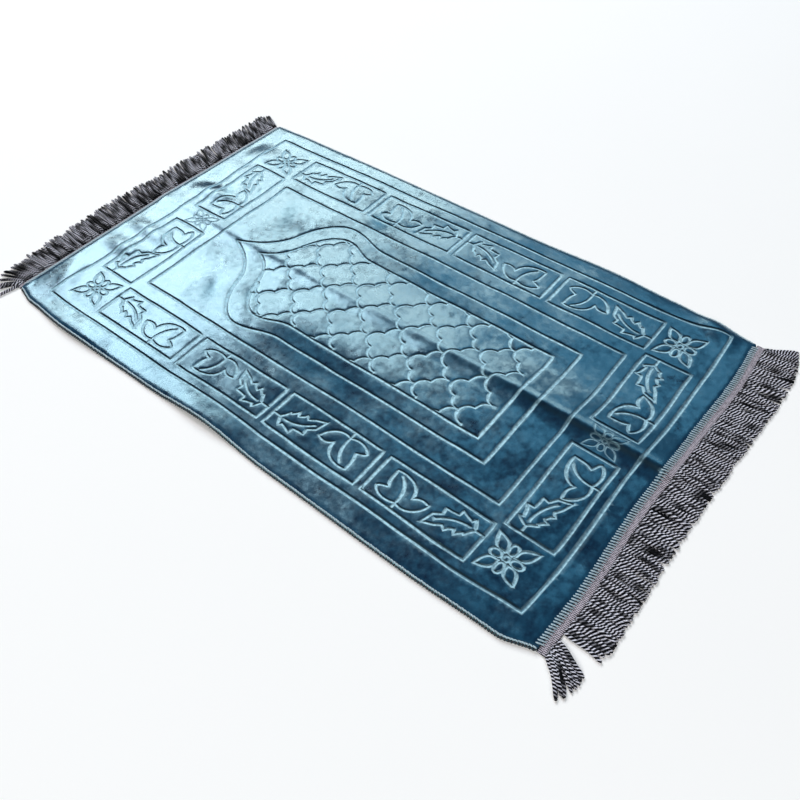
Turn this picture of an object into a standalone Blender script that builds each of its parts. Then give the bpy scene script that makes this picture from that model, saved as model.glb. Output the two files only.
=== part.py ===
"""Prayer rug of padded velvet, pressed with an arch and flower borders, laid flat with a long fold.

Three solids at real size, in metres, +Z up, +Y along the rug towards the point of its arch:
the cloth, and at each short end a fringe whose strands grow out of their heading tape.

Plan coordinates run across the rug from its near long edge (x) and along it from its near
short end (y). When everything is built, the whole part is moved onto the middle of its own box.
"""

import math

import bmesh
import bpy
import numpy as np
from mathutils import Vector
from mathutils.geometry import delaunay_2d_cdt

MM = 0.001

# ---------------------------------------------------------------- cloth
CLOTH_WIDTH = 0.660
CLOTH_LENGTH = 1.100
CLOTH_THICK = 0.0070
RIM_THICK = 0.0045          # where the overlocking squeezes the padding
RIM_WIDTH = 0.009
RIM_ROUNDING = 0.3          # how far the face has sunk at the rim's inner line, as a share
CORNER_CUT = 0.008
NEIGHBOUR_GAP = 0.0003

# How far each edge of the laid cloth bellies out past its straight line.
# Columns: place along the edge, outward offset.
NEAR_LONG_EDGE = ((0.000, 0.004), (0.055, 0.018), (0.200, 0.021), (0.450, 0.019), (0.590, 0.014),
                  (0.750, 0.019), (0.950, 0.023), (1.050, 0.017), (1.100, 0.007))
FAR_LONG_EDGE = ((0.000, 0.001), (0.150, 0.008), (0.270, 0.014), (0.450, 0.010), (0.800, 0.009),
                 (1.000, 0.006), (1.100, 0.002))
NEAR_SHORT_EDGE = ((0.000, -0.003), (0.100, 0.001), (0.250, -0.003), (0.400, 0.001),
                   (0.560, 0.006), (0.660, 0.001))
FAR_SHORT_EDGE = ((0.000, 0.001), (0.200, 0.003), (0.340, 0.006), (0.500, 0.003), (0.660, 0.000))

# Points on the outline: each side of the ridge at the near and the far end, and along a side.
NEAR_END_POINTS = (7, 7)
FAR_END_POINTS = (12, 10)
LONG_EDGE_POINTS = 30
BESIDE_RIDGE = 0.017        # from the ridge's foot to the next point of the outline

# ---------------------------------------------------------------- how the cloth lies
# The long fold where the rug was folded in half, standing as a soft ridge.
RIDGE_X = 0.337
RIDGE_WANDER = 0.0025
RIDGE_HEIGHT = 0.0100
RIDGE_END_SHARE = 0.55      # its height at the short ends, as a share of the middle
RIDGE_NEAR_FOOT = 0.030
RIDGE_FAR_FOOT = 0.024
RIDGE_LINES = (-1.0, -0.62, -0.2, 0.2, 0.62, 1.0)
RIDGE_STATIONS = 26

# Smaller waves. Columns: x, y, heading of the crest in degrees from +x, half length, half width,
# height.
WAVES = (
    (0.182, 1.035, 90, 0.070, 0.030, 0.0042),
    (0.243, 1.030, 84, 0.085, 0.026, 0.0038),
    (0.402, 1.030, 98, 0.080, 0.034, 0.0060),
    (0.560, 1.040, 90, 0.060, 0.045, 0.0036),
    (0.060, 1.045, 32, 0.095, 0.030, 0.0050),
    (-0.004, 0.610, 90, 0.110, 0.050, 0.0065),
    (-0.006, 0.930, 90, 0.120, 0.045, 0.0050),
    (0.645, 0.060, 60, 0.060, 0.034, 0.0060),
)
WAVE_END_FADE = 0.03        # over which the waves die out towards the taped ends

# Where the pattern is pulled out of true. Columns: x, y, reach in x, reach in y, shift in x,
# shift in y.
PULLS = (
    (0.030, 0.640, 0.080, 0.080, 0.0040, 0.0),
    (0.645, 0.045, 0.050, 0.045, 0.0110, 0.0020),
    (0.010, 0.060, 0.060, 0.060, 0.0040, 0.0050),
    (0.470, 0.045, 0.110, 0.025, 0.0, -0.0040),
    (0.600, 0.105, 0.060, 0.060, 0.0035, -0.0010),
)
FAR_RIGHT_TAPER = 0.008     # how far the far right corner of the pattern is drawn in
PATTERN_WANDER = (0.0008, 0.0010)
CROWN = 0.0006              # soft unevenness of the padded face

# ---------------------------------------------------------------- pressed pattern
PATTERN_MID = 0.3255
# Groove kinds: half width and depth.
LINE = (0.0030, 0.0021)
MOTIF = (0.0017, 0.0017)

OUTER_SIDES = (0.0215, 0.6335)
OUTER_ENDS = (0.040, 1.050)
FIELD_HALF = 0.182
FIELD_ENDS = (0.1605, 0.925)
SIDE_PANEL_HALVES = (0.2850, 0.2120)
SIDE_PANELS = ((0.146, 0.331), (0.345, 0.532), (0.545, 0.735), (0.748, 0.939))
END_PANEL_HALVES = (0.2025, 0.0260)
END_PANELS = ((0.058, 0.136), (0.949, 1.030))

# Arch outlines. Columns: half width, base, pinch height, widest half width and its height,
# shoulder half width and its height, point height.
OUTER_ARCH = (0.138, 0.2175, 0.635, 0.1585, 0.724, 0.075, 0.802, 0.884)
INNER_ARCH = (0.1055, 0.2515, 0.640, 0.1245, 0.711, 0.058, 0.771, 0.823)
ARCH_SWELL, ARCH_RISE, ARCH_HOOK = 0.4, 0.5, 0.3        # pulls of its three curves, as shares
ARCH_STEPS = (5, 6, 6)

LATTICE_COLUMN = 0.040
LATTICE_ROW = 0.0876
LATTICE_DROP = 0.038
LATTICE_ROWS = 6
LATTICE_FIRST_TOPS = (0.306, 0.347)     # of the waves that top out on even and on odd columns
SCALLOP_SHARES = (0.475, 0.525)         # of a column, taken by its upper and its lower quarter

LEAF_LENGTH = 0.068
LEAF_LEAN = 0.034
LEAF_HALF_WIDTHS = (0.021, 0.0155)      # on the side it leans to, and on the other
LEAF_STALK = 0.014
LEAF_INSET = 0.047          # from the panel's inner long line to the stalk
LEAF_RIB_PULLS = ((0.36, -0.12), (0.75, 0.20))          # as shares of its length and its lean
# The saw edge. Columns: share of the way to the tip, share of the full width there.
LEAF_SAW = ((0.0, 0.0), (0.12, 0.90), (0.30, 1.0), (0.33, 0.68), (0.64, 1.0), (0.67, 0.68),
            (1.0, 0.0))

FLOWER_STALK = 0.013
FLOWER_ALONG = 0.130        # from the panel's end to the flower's stalk
# Three-lobed flower, drawn from its joint: curve pulls and end of each stretch of its edge.
# Columns: first pull, second pull, end, each as (into the panel, to the side) in millimetres,
# and the steps in the stretch.
FLOWER_EDGE = (
    ((-6, 14), (-6, 32), (7, 41), 3),
    ((12, 38), (13, 31), (16, 25), 2),
    ((24, 31), (34, 30), (47, 31), 2),
    ((51, 14), (46, -14), (20, -16), 4),
    ((29, -24), (28, -33), (25, -42), 2),
    ((8, -39), (-8, -20), (0, 0), 3),
)
FLOWER_VEIN = ((16, -2), (32, 4), (42, 17))

END_LEAF_DROP = 0.024       # from an end panel's top line to its leaf's stalk
END_FLOWER_ALONG = 0.125

ROSETTE_SIZE = (0.062, 0.064)
MIDDLE_ROSETTE_SIZE = (0.040, 0.056)
MIDDLE_ROSETTE_DROP = 0.004
ROSETTE_MIDDLES_Y = (0.101, 0.988)
ROSETTE_HALF = 0.248
# Shares of the rosette's half size.
ROSETTE_LEAF_ROOT = 0.24
ROSETTE_LEAF_BULGE = (0.26, 0.78)
ROSETTE_PETAL = (0.53, 0.30, 0.20)      # middle, half length, half width
ROSETTE_EYE = 0.15
PETAL_SIDES = 5
EYE_SIDES = 6

STRAIGHT_STEP = 0.100
WAVE_STEP = 0.024           # longest step where a line runs over a wave
WAVE_MATTERS = 0.0008       # height over which a stretch of line counts as running over a wave
CURVE_STEPS = 3

# Extra points between the lines: spacing on the level, over waves, and on the underside.
LEVEL_SPACING = 0.070
WAVE_SPACING = 0.028
UNDER_SPACING = 0.030
UNDER_MATTERS = 0.0002      # lift over which the underside counts as waved
RIDGE_CLEARANCE = 0.036     # the ridge's own lines take over inside this
LINE_CLEARANCE = 0.006
EDGE_CLEARANCE = 0.010

# ---------------------------------------------------------------- fringe
TAPE_WIDTH = 0.012
TAPE_THICK = 0.0022
STRANDS = 128
STRAND_WIDTH = 0.0034
STRAND_HEIGHT = 0.0032
STRAND_UNEVEN = 0.0030
STRAND_SWAY = 0.0007
STRAND_STATIONS = (0.38, 0.75)          # shares of the length, the first being where it lands
STRAND_TIP_SHARE = 0.2
# How each fringe is combed. Columns: root x, tip x, how far the tip lies out from the straight
# end of the cloth.
NEAR_COMB = ((-0.004, -0.044, 0.048), (0.010, -0.020, 0.059), (0.0235, 0.006, 0.067),
             (0.0270, 0.031, 0.068), (0.045, 0.047, 0.072), (0.200, 0.201, 0.070),
             (0.330, 0.332, 0.071), (0.430, 0.435, 0.075), (0.560, 0.566, 0.080),
             (0.620, 0.628, 0.079), (0.662, 0.677, 0.071))
FAR_COMB = ((-0.006, -0.058, 0.018), (0.004, -0.034, 0.044), (0.018, -0.004, 0.064),
            (0.060, 0.058, 0.074), (0.200, 0.203, 0.079), (0.270, 0.276, 0.084),
            (0.340, 0.349, 0.080), (0.420, 0.432, 0.077), (0.560, 0.582, 0.070),
            (0.640, 0.662, 0.068), (0.662, 0.683, 0.052))
COMB_MARGIN = 0.003         # from the comb's ends to the first and last strand


# ================================================================ curves
def smooth_table(table, place):
    """Value of a two-column table at each place, eased between its rows."""
    rows = np.array(table)
    index = np.clip(np.searchsorted(rows[:, 0], place) - 1, 0, len(rows) - 2)
    span = rows[index + 1, 0] - rows[index, 0]
    share = np.clip((place - rows[index, 0]) / span, 0, 1)
    ease = share * share * (3 - 2 * share)
    return rows[index, 1] * (1 - ease) + rows[index + 1, 1] * ease


def curve(start, pull_start, pull_end, end, steps=CURVE_STEPS):
    """Cubic curve from start to end, drawn towards its two pulls."""
    start, pull_start, pull_end, end = map(np.array, (start, pull_start, pull_end, end))
    t = np.linspace(0, 1, steps + 1)[:, None]
    return ((1 - t) ** 3 * start + 3 * t * (1 - t) ** 2 * pull_start
            + 3 * t * t * (1 - t) * pull_end + t ** 3 * end)


def joined(*pieces):
    """One line through pieces that each start where the last one ends."""
    return np.vstack([pieces[0]] + [piece[1:] for piece in pieces[1:]])


def closed(ring):
    """The ring with its first point again at its end."""
    return np.vstack([ring, ring[:1]])


def straight(start, end, step=STRAIGHT_STEP):
    start, end = np.array(start, float), np.array(end, float)
    count = max(1, round(np.linalg.norm(end - start) / step))
    return start + (end - start) * np.linspace(0, 1, count + 1)[:, None]


def mirrored(points):
    """The same line on the other side of the pattern's middle."""
    return np.stack([2 * PATTERN_MID - points[:, 0], points[:, 1]], axis=1)


def placed(points, joint, along, side):
    """Points given as (along, side) from a joint, in plan coordinates."""
    return np.array(joint) + points[:, :1] * np.array(along) + points[:, 1:] * np.array(side)


# ================================================================ pattern
def frame_line(left, right, low, high):
    corners = ((left, low), (right, low), (right, high), (left, high), (left, low))
    return joined(*[straight(a, b) for a, b in zip(corners, corners[1:])])


def arch(half, base, pinch, wide, wide_y, shoulder, shoulder_y, point):
    """Pointed arch: straight sides that swell above a pinch and sweep in to a point."""
    swell = ARCH_SWELL * (wide_y - pinch)
    rise = ARCH_RISE * (shoulder_y - wide_y)
    hook = ARCH_HOOK * rise
    left = joined(
        straight((0, base), (-half, base)),
        straight((-half, base), (-half, pinch)),
        curve((-half, pinch), (-half, pinch + swell), (-wide, wide_y - swell), (-wide, wide_y),
              ARCH_STEPS[0]),
        curve((-wide, wide_y), (-wide, wide_y + rise), (-shoulder - rise, shoulder_y - hook),
              (-shoulder, shoulder_y), ARCH_STEPS[1]),
        curve((-shoulder, shoulder_y), (-0.5 * shoulder, shoulder_y + hook),
              (-0.2 * shoulder, point - rise), (0, point), ARCH_STEPS[2]),
    )
    right = left[::-1] * (-1, 1)
    return joined(left, right) + (PATTERN_MID, 0)


def inside(points, outline):
    """Whether each point lies inside a closed outline, by counting crossings."""
    x, y = points[:, 0, None], points[:, 1, None]
    x0, y0 = outline[:-1, 0], outline[:-1, 1]
    x1, y1 = outline[1:, 0], outline[1:, 1]
    spans = (y0 > y) != (y1 > y)
    rise = np.where(y1 == y0, 1.0, y1 - y0)
    crossing = x0 + (y - y0) / rise * (x1 - x0)
    return (spans & (x < crossing)).sum(axis=1) % 2 == 1


def crossing_point(kept, lost, outline):
    """Where the way from a kept point to a lost one crosses the outline, found by halving."""
    for _ in range(16):
        middle = (kept + lost) / 2
        if inside(middle[None], outline)[0]:
            kept = middle
        else:
            lost = middle
    return kept


def cut_to(line, outline):
    """The stretches of a line that lie inside an outline."""
    keep = inside(line, outline)
    stretches, current = [], []
    for index, point in enumerate(line):
        entering = index and keep[index] and not keep[index - 1]
        leaving = index and keep[index - 1] and not keep[index]
        if entering:
            current = [crossing_point(point, line[index - 1], outline)]
        if leaving:
            current.append(crossing_point(line[index - 1], point, outline))
            stretches.append(np.array(current))
            current = []
        if keep[index]:
            current.append(point)
    if len(current) > 1:
        stretches.append(np.array(current))
    return stretches


def scallop():
    """Half a lattice wave, from its round top down to its point: two quarter rounds in a row."""
    turn = np.radians((0, 45, 90))
    quarter = np.stack([np.sin(turn), np.cos(turn) - 1], axis=1)
    upper, lower = (quarter * (share * LATTICE_COLUMN, LATTICE_DROP / 2)
                    for share in SCALLOP_SHARES)
    return joined(upper, upper[-1] + lower)


def lattice(outline):
    """Rows of waves, each second row shifted by a column, kept inside the arch."""
    half = scallop()
    wave = joined((half * (-1, 1))[::-1], half)
    strokes = []
    for odd, first_top in enumerate(LATTICE_FIRST_TOPS):
        for row in range(LATTICE_ROWS):
            tops = np.arange(-4 + odd, 5, 2) * LATTICE_COLUMN
            line = joined(*[wave + (top, 0) for top in tops])
            line = line + (PATTERN_MID, first_top + row * LATTICE_ROW)
            strokes += cut_to(line, outline)
    return strokes


def leaf(joint, along, side):
    """Saw-edged leaf that leans to one side, with its rib and stalk."""
    size = np.array((LEAF_LENGTH, LEAF_LEAN))
    first, second = (np.array(pull) * size for pull in LEAF_RIB_PULLS)
    fine = 60
    rib = curve((0, 0), first, second, size, fine)
    heading = np.gradient(rib, axis=0)
    normal = np.stack([-heading[:, 1], heading[:, 0]], axis=1)
    normal /= np.linalg.norm(normal, axis=1)[:, None]
    t, tooth = np.array(LEAF_SAW).T
    width = np.sqrt(1 - (1 - t) ** 6) * (1 - t ** 3) ** 0.8 * tooth
    at = np.round(t * fine).astype(int)
    wide, slim = LEAF_HALF_WIDTHS
    lines = [rib[at] + half * width[:, None] * normal[at] for half in (wide, -slim)]
    stalk = np.array([(-LEAF_STALK, 0), (0, 0)])
    lines.append(joined(stalk, rib[:4 * fine // 5:fine // 4]))
    return [placed(line, joint, along, side) for line in lines]


def flower(joint, along, side):
    """Three-lobed flower with one curved vein, on a short stalk."""
    start = np.zeros(2)
    pieces = []
    for first, second, end, steps in FLOWER_EDGE:
        first, second, end = (np.array(point) * MM for point in (first, second, end))
        pieces.append(curve(start, first, second, end, steps))
        start = end
    vein = curve((0, 0), *[np.array(point) * MM for point in FLOWER_VEIN])
    stalk = np.array([(-FLOWER_STALK, 0), (0, 0)])
    return [placed(line, joint, along, side) for line in (joined(*pieces), joined(stalk, vein))]


def round_line(sides):
    turn = np.radians(np.linspace(0, 360, sides + 1))
    return np.stack([np.cos(turn), np.sin(turn)], axis=1)


def rosette(middle, size):
    """Four pointed leaves on the diagonals, four oval petals between them and a round eye."""
    strokes = []
    slim, full = ROSETTE_LEAF_BULGE
    for tip in np.array(((1, 1), (-1, 1), (-1, -1), (1, -1))):
        for bulge in ((slim, full), (full, slim)):
            strokes.append(curve(ROSETTE_LEAF_ROOT * tip, 0.8 * tip * bulge, 1.12 * tip * bulge,
                                 tip, 2))
    from_middle, half_length, half_width = ROSETTE_PETAL
    petal = round_line(PETAL_SIDES) * (half_length, half_width) + (from_middle, 0)
    for x, y in ((1, 0), (0, 1), (-1, 0), (0, -1)):
        strokes.append(placed(petal, (0, 0), (x, y), (-y, x)))
    strokes.append(ROSETTE_EYE * round_line(EYE_SIDES))
    return [middle + stroke * size / 2 for stroke in strokes]


def side_panel_motifs():
    """The near column's motifs. Each panel holds a leaf and a flower, turned from row to row."""
    outer, inner = (PATTERN_MID - half for half in SIDE_PANEL_HALVES)
    right, left, up, down = (1, 0), (-1, 0), (0, 1), (0, -1)
    first, second, third, fourth = SIDE_PANELS
    near_leaf, far_leaf = outer + LEAF_INSET, inner - LEAF_INSET
    near_flower, far_flower = outer + FLOWER_STALK, inner - FLOWER_STALK
    strokes = leaf((near_leaf, first[0] + LEAF_STALK), up, left)
    strokes += flower((near_flower, first[0] + FLOWER_ALONG), right, up)
    strokes += leaf((far_leaf, second[1] - LEAF_STALK), down, right)
    strokes += flower((far_flower, second[1] - FLOWER_ALONG), left, down)
    strokes += leaf((far_leaf, third[0] + LEAF_STALK), up, right)
    strokes += flower((far_flower, third[0] + FLOWER_ALONG), left, up)
    strokes += leaf((near_leaf, fourth[1] - LEAF_STALK), down, left)
    strokes += flower((near_flower, fourth[1] - FLOWER_ALONG), right, down)
    return strokes


def end_panel_motifs(low, high):
    outer = PATTERN_MID - END_PANEL_HALVES[0]
    strokes = leaf((outer + LEAF_STALK, high - END_LEAF_DROP), (1, 0), (0, -1))
    strokes += flower((outer + END_FLOWER_ALONG, low + FLOWER_STALK), (0, 1), (1, 0))
    return strokes


def line_strokes():
    strokes = [
        frame_line(*OUTER_SIDES, *OUTER_ENDS),
        frame_line(PATTERN_MID - FIELD_HALF, PATTERN_MID + FIELD_HALF, *FIELD_ENDS),
        arch(*OUTER_ARCH),
        arch(*INNER_ARCH),
    ]
    panels = [frame_line(*[PATTERN_MID - half for half in SIDE_PANEL_HALVES], *ends)
              for ends in SIDE_PANELS]
    panels += [frame_line(*[PATTERN_MID - half for half in END_PANEL_HALVES], *ends)
               for ends in END_PANELS]
    return strokes + panels + [mirrored(panel) for panel in panels]


def motif_strokes():
    near = side_panel_motifs()
    for ends in END_PANELS:
        near += end_panel_motifs(*ends)
    strokes = near + [mirrored(stroke) for stroke in near]
    for y in ROSETTE_MIDDLES_Y:
        for x in (-ROSETTE_HALF, ROSETTE_HALF):
            strokes += rosette((PATTERN_MID + x, y), np.array(ROSETTE_SIZE))
        strokes += rosette((PATTERN_MID, y - MIDDLE_ROSETTE_DROP), np.array(MIDDLE_ROSETTE_SIZE))
    return strokes + lattice(arch(*INNER_ARCH))


# ================================================================ the lie of the cloth
def laid(points):
    """Where a point of the true pattern comes to lie once the cloth is pulled about."""
    x, y = points[:, 0], points[:, 1]
    across = np.clip((x - PATTERN_MID) / (OUTER_SIDES[1] - PATTERN_MID), 0, None)
    moved_x = x - FAR_RIGHT_TAPER * across * np.clip(y / CLOTH_LENGTH, 0, 1) ** 3
    moved_y = y
    for at_x, at_y, reach_x, reach_y, shift_x, shift_y in PULLS:
        share = np.exp(-((x - at_x) / reach_x) ** 2 - ((y - at_y) / reach_y) ** 2)
        moved_x = moved_x + shift_x * share
        moved_y = moved_y + shift_y * share
    wander_x, wander_y = PATTERN_WANDER
    moved_x = moved_x + wander_x * np.sin(y * 23 + 1.3) * np.cos(x * 9)
    moved_y = moved_y + wander_y * np.sin(x * 27 + 0.6) * np.cos(y * 5)
    return np.stack([moved_x, moved_y], axis=1)


def ridge_x(y):
    return RIDGE_X + RIDGE_WANDER * np.sin(y * 7.5 + 0.4)


def ridge_places(y):
    """Across the rug, the places of the ridge's lines from its near foot to its far foot."""
    shares = np.array(RIDGE_LINES)
    return ridge_x(y) + shares * np.where(shares < 0, RIDGE_NEAR_FOOT, RIDGE_FAR_FOOT)


def hump(distance):
    """Rises from nothing at distance 1 to one at distance 0, flat at both."""
    return np.cos(np.clip(distance, 0, 1) * math.pi / 2) ** 2


def ridge(x, y):
    """Height of the long fold, lower towards the short ends."""
    from_middle = np.clip(np.abs(2 * y / CLOTH_LENGTH - 1), 0, 1)
    tall = RIDGE_HEIGHT * (1 - (1 - RIDGE_END_SHARE) * from_middle ** 4)
    away = x - ridge_x(y)
    foot = np.where(away < 0, RIDGE_NEAR_FOOT, RIDGE_FAR_FOOT)
    return tall * hump(np.abs(away) / foot)


def waves(x, y):
    """Height of the smaller waves, which die out at the taped ends."""
    height = np.zeros(np.shape(x))
    for at_x, at_y, heading, half_length, half_width, tall in WAVES:
        turn = math.radians(heading)
        along = (x - at_x) * math.cos(turn) + (y - at_y) * math.sin(turn)
        aside = (y - at_y) * math.cos(turn) - (x - at_x) * math.sin(turn)
        wave = tall * hump(np.abs(along) / half_length) * hump(np.abs(aside) / half_width)
        height = np.maximum(height, wave)
    return height * np.clip(np.minimum(y, CLOTH_LENGTH - y) / WAVE_END_FADE, 0, 1)


def lift(x, y):
    """Height of the cloth's underside above the floor: nothing but at the folds."""
    return np.maximum(ridge(x, y), waves(x, y))


def over_waves(line):
    """The line with extra points where it runs over a wave."""
    pieces = []
    for start, end in zip(line[:-1], line[1:]):
        fine = straight(start, end, WAVE_STEP)
        height = waves(fine[:, 0], fine[:, 1])
        pieces.append(fine if np.ptp(height) > WAVE_MATTERS else np.array([start, end]))
    return joined(*pieces)


def crown(x, y):
    """Soft unevenness of the padding."""
    return CROWN * np.sin(x * 31 + 2 * np.sin(y * 9)) * np.sin(y * 24 + 1.5 * np.sin(x * 12))


# ================================================================ triangulating the face
def rail(line, distance):
    """The line moved sideways, with its corners mitred."""
    is_closed = np.allclose(line[0], line[-1])
    ahead = np.diff(line, axis=0)
    ahead /= np.linalg.norm(ahead, axis=1)[:, None]
    before = np.vstack([ahead[-1:] if is_closed else ahead[:1], ahead])
    after = np.vstack([ahead, ahead[:1] if is_closed else ahead[-1:]])
    middle = before + after
    size = np.linalg.norm(middle, axis=1)[:, None]
    sharpest = 0.3
    middle = np.where(size > sharpest, middle / np.maximum(size, sharpest), after)
    normal = np.stack([-middle[:, 1], middle[:, 0]], axis=1)
    stretch = 2 / np.maximum(size, 1.0)
    return line + distance * normal * stretch


def distance_to(points, strokes):
    """Distance from each point to the nearest of the strokes, out to a centimetre."""
    reach = 0.01
    nearest = np.full(len(points), 1.0)
    for line in strokes:
        start, way = line[:-1], np.diff(line, axis=0)
        length = np.maximum((way ** 2).sum(axis=1), 1e-12)
        low, high = line.min(axis=0) - reach, line.max(axis=0) + reach
        chosen = np.nonzero(((points > low) & (points < high)).all(axis=1))[0]
        if not len(chosen):
            continue
        offset = points[chosen, None] - start[None]
        share = np.clip((offset * way).sum(axis=2) / length, 0, 1)
        gap = np.linalg.norm(offset - share[..., None] * way, axis=2).min(axis=1)
        nearest[chosen] = np.minimum(nearest[chosen], gap)
    return nearest


def grid_points(step, keep):
    """Points of an even grid over the cloth for which keep(x, y) holds."""
    overhang = 0.02
    across = np.arange(-overhang, CLOTH_WIDTH + overhang, step)
    along = np.arange(0.0, CLOTH_LENGTH, step)
    x, y = (side.ravel() for side in np.meshgrid(across, along))
    chosen = keep(x, y)
    return np.stack([x[chosen], y[chosen]], axis=1)


def beside_ridge(x):
    return np.abs(x - RIDGE_X) > RIDGE_CLEARANCE


def away_from_edge(points, ring):
    outline = closed(ring)
    return points[(distance_to(points, [outline]) >= EDGE_CLEARANCE) & inside(points, outline)]


def triangulated(ring, lines, points):
    """Triangles that fill a closed ring and keep every line. The ring's points come first."""
    verts = [Vector(point) for point in ring]
    edges = [(index, (index + 1) % len(ring)) for index in range(len(ring))]
    for line in lines:
        first = len(verts)
        verts += [Vector(point) for point in line]
        edges += [(index, index + 1) for index in range(first, len(verts) - 1)]
    verts += [Vector(point) for point in points]
    out, _, faces, origins, _, _ = delaunay_2d_cdt(verts, edges, [], 0, 1e-5, True)
    place = {}
    for index, sources in enumerate(origins):
        for source in sources:
            place[source] = index
    order = [place[index] for index in range(len(ring))]
    rest = sorted(set(range(len(out))) - set(order))
    new_index = {old: new for new, old in enumerate(order + rest)}
    plan = np.array([out[old][:] for old in order + rest])
    tris = np.array([[new_index[old] for old in face] for face in faces])
    kept = inside(plan[tris].mean(axis=1), closed(ring))
    return plan, tris[kept].tolist()


# ================================================================ cloth
def short_edge(y, table, counts):
    """Points across one short end, with the ridge's lines among them."""
    places = ridge_places(y)
    before, after = counts
    x = np.concatenate([
        np.linspace(CORNER_CUT, places[0] - BESIDE_RIDGE, before), places,
        np.linspace(places[-1] + BESIDE_RIDGE, CLOTH_WIDTH - CORNER_CUT, after)])
    return x, smooth_table(table, x)


def near_end():
    return short_edge(0.0, NEAR_SHORT_EDGE, NEAR_END_POINTS)


def far_end():
    return short_edge(CLOTH_LENGTH, FAR_SHORT_EDGE, FAR_END_POINTS)


def edge_points():
    """The cloth's outline in plan, anticlockwise from the near left corner."""
    near_x, near_out = near_end()
    far_x, far_out = far_end()
    along = np.linspace(CORNER_CUT, CLOTH_LENGTH - CORNER_CUT, LONG_EDGE_POINTS)
    near = np.stack([near_x, -near_out], axis=1)
    right = np.stack([CLOTH_WIDTH + smooth_table(FAR_LONG_EDGE, along), along], axis=1)
    far = np.stack([far_x, CLOTH_LENGTH + far_out], axis=1)
    left = np.stack([-smooth_table(NEAR_LONG_EDGE, along), along], axis=1)
    return np.vstack([near, right, far[::-1], left[::-1]])


def inset(ring, distance):
    return rail(closed(ring), distance)[:-1]


def fold_lines():
    """Lines along the ridge, from end to end of the padded face."""
    short_of_end = 2 * RIM_WIDTH
    y = np.linspace(short_of_end, CLOTH_LENGTH - short_of_end, RIDGE_STATIONS)
    places = np.array([ridge_places(at) for at in y]).T
    return [np.stack([x, y], axis=1) for x in places]


def build_cloth():
    line_grooves = [over_waves(laid(stroke)) for stroke in line_strokes()]
    motif_grooves = [laid(stroke) for stroke in motif_strokes()]
    kinds = ((line_grooves, LINE), (motif_grooves, MOTIF))
    outer = edge_points()
    face_ring = inset(outer, RIM_WIDTH)

    rails = []
    for grooves, (half_width, _) in kinds:
        for groove in grooves:
            rails += [groove, rail(groove, half_width), rail(groove, -half_width)]
    fill = np.vstack([
        grid_points(LEVEL_SPACING, lambda x, y: beside_ridge(x)),
        grid_points(WAVE_SPACING, lambda x, y: (waves(x, y) > CROWN) & beside_ridge(x)),
    ])
    fill = away_from_edge(fill, face_ring)
    fill = fill[distance_to(fill, line_grooves + motif_grooves) > LINE_CLEARANCE]

    face_plan, face_tris = triangulated(face_ring, rails + fold_lines(), fill)
    x, y = face_plan.T
    pressed = np.zeros(len(face_plan))
    for grooves, (half_width, depth) in kinds:
        share = 1 - distance_to(face_plan, grooves) / half_width
        pressed = np.maximum(pressed, depth * np.clip(share, 0, 1))
    face_z = lift(x, y) + CLOTH_THICK + crown(x, y) - pressed
    face_z[:len(face_ring)] -= RIM_ROUNDING * (CLOTH_THICK - RIM_THICK)

    under_fill = grid_points(
        UNDER_SPACING, lambda x, y: (waves(x, y) > UNDER_MATTERS) & beside_ridge(x))
    under_fill = away_from_edge(under_fill, outer)
    under_plan, under_tris = triangulated(outer, fold_lines(), under_fill)

    verts = np.vstack([
        np.column_stack([face_plan, face_z]),
        np.column_stack([outer, lift(*outer.T) + RIM_THICK]),
        np.column_stack([under_plan, lift(*under_plan.T)]),
    ])
    count = len(outer)
    rim_start = len(face_plan)
    under_start = rim_start + count
    faces = list(face_tris)
    for index in range(count):
        following = (index + 1) % count
        faces.append([following, index, rim_start + index, rim_start + following])
        faces.append([rim_start + following, rim_start + index,
                      under_start + index, under_start + following])
    faces += [[under_start + corner for corner in reversed(face)] for face in under_tris]
    return make_object("rug_cloth", verts, faces, cloth_material())


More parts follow.
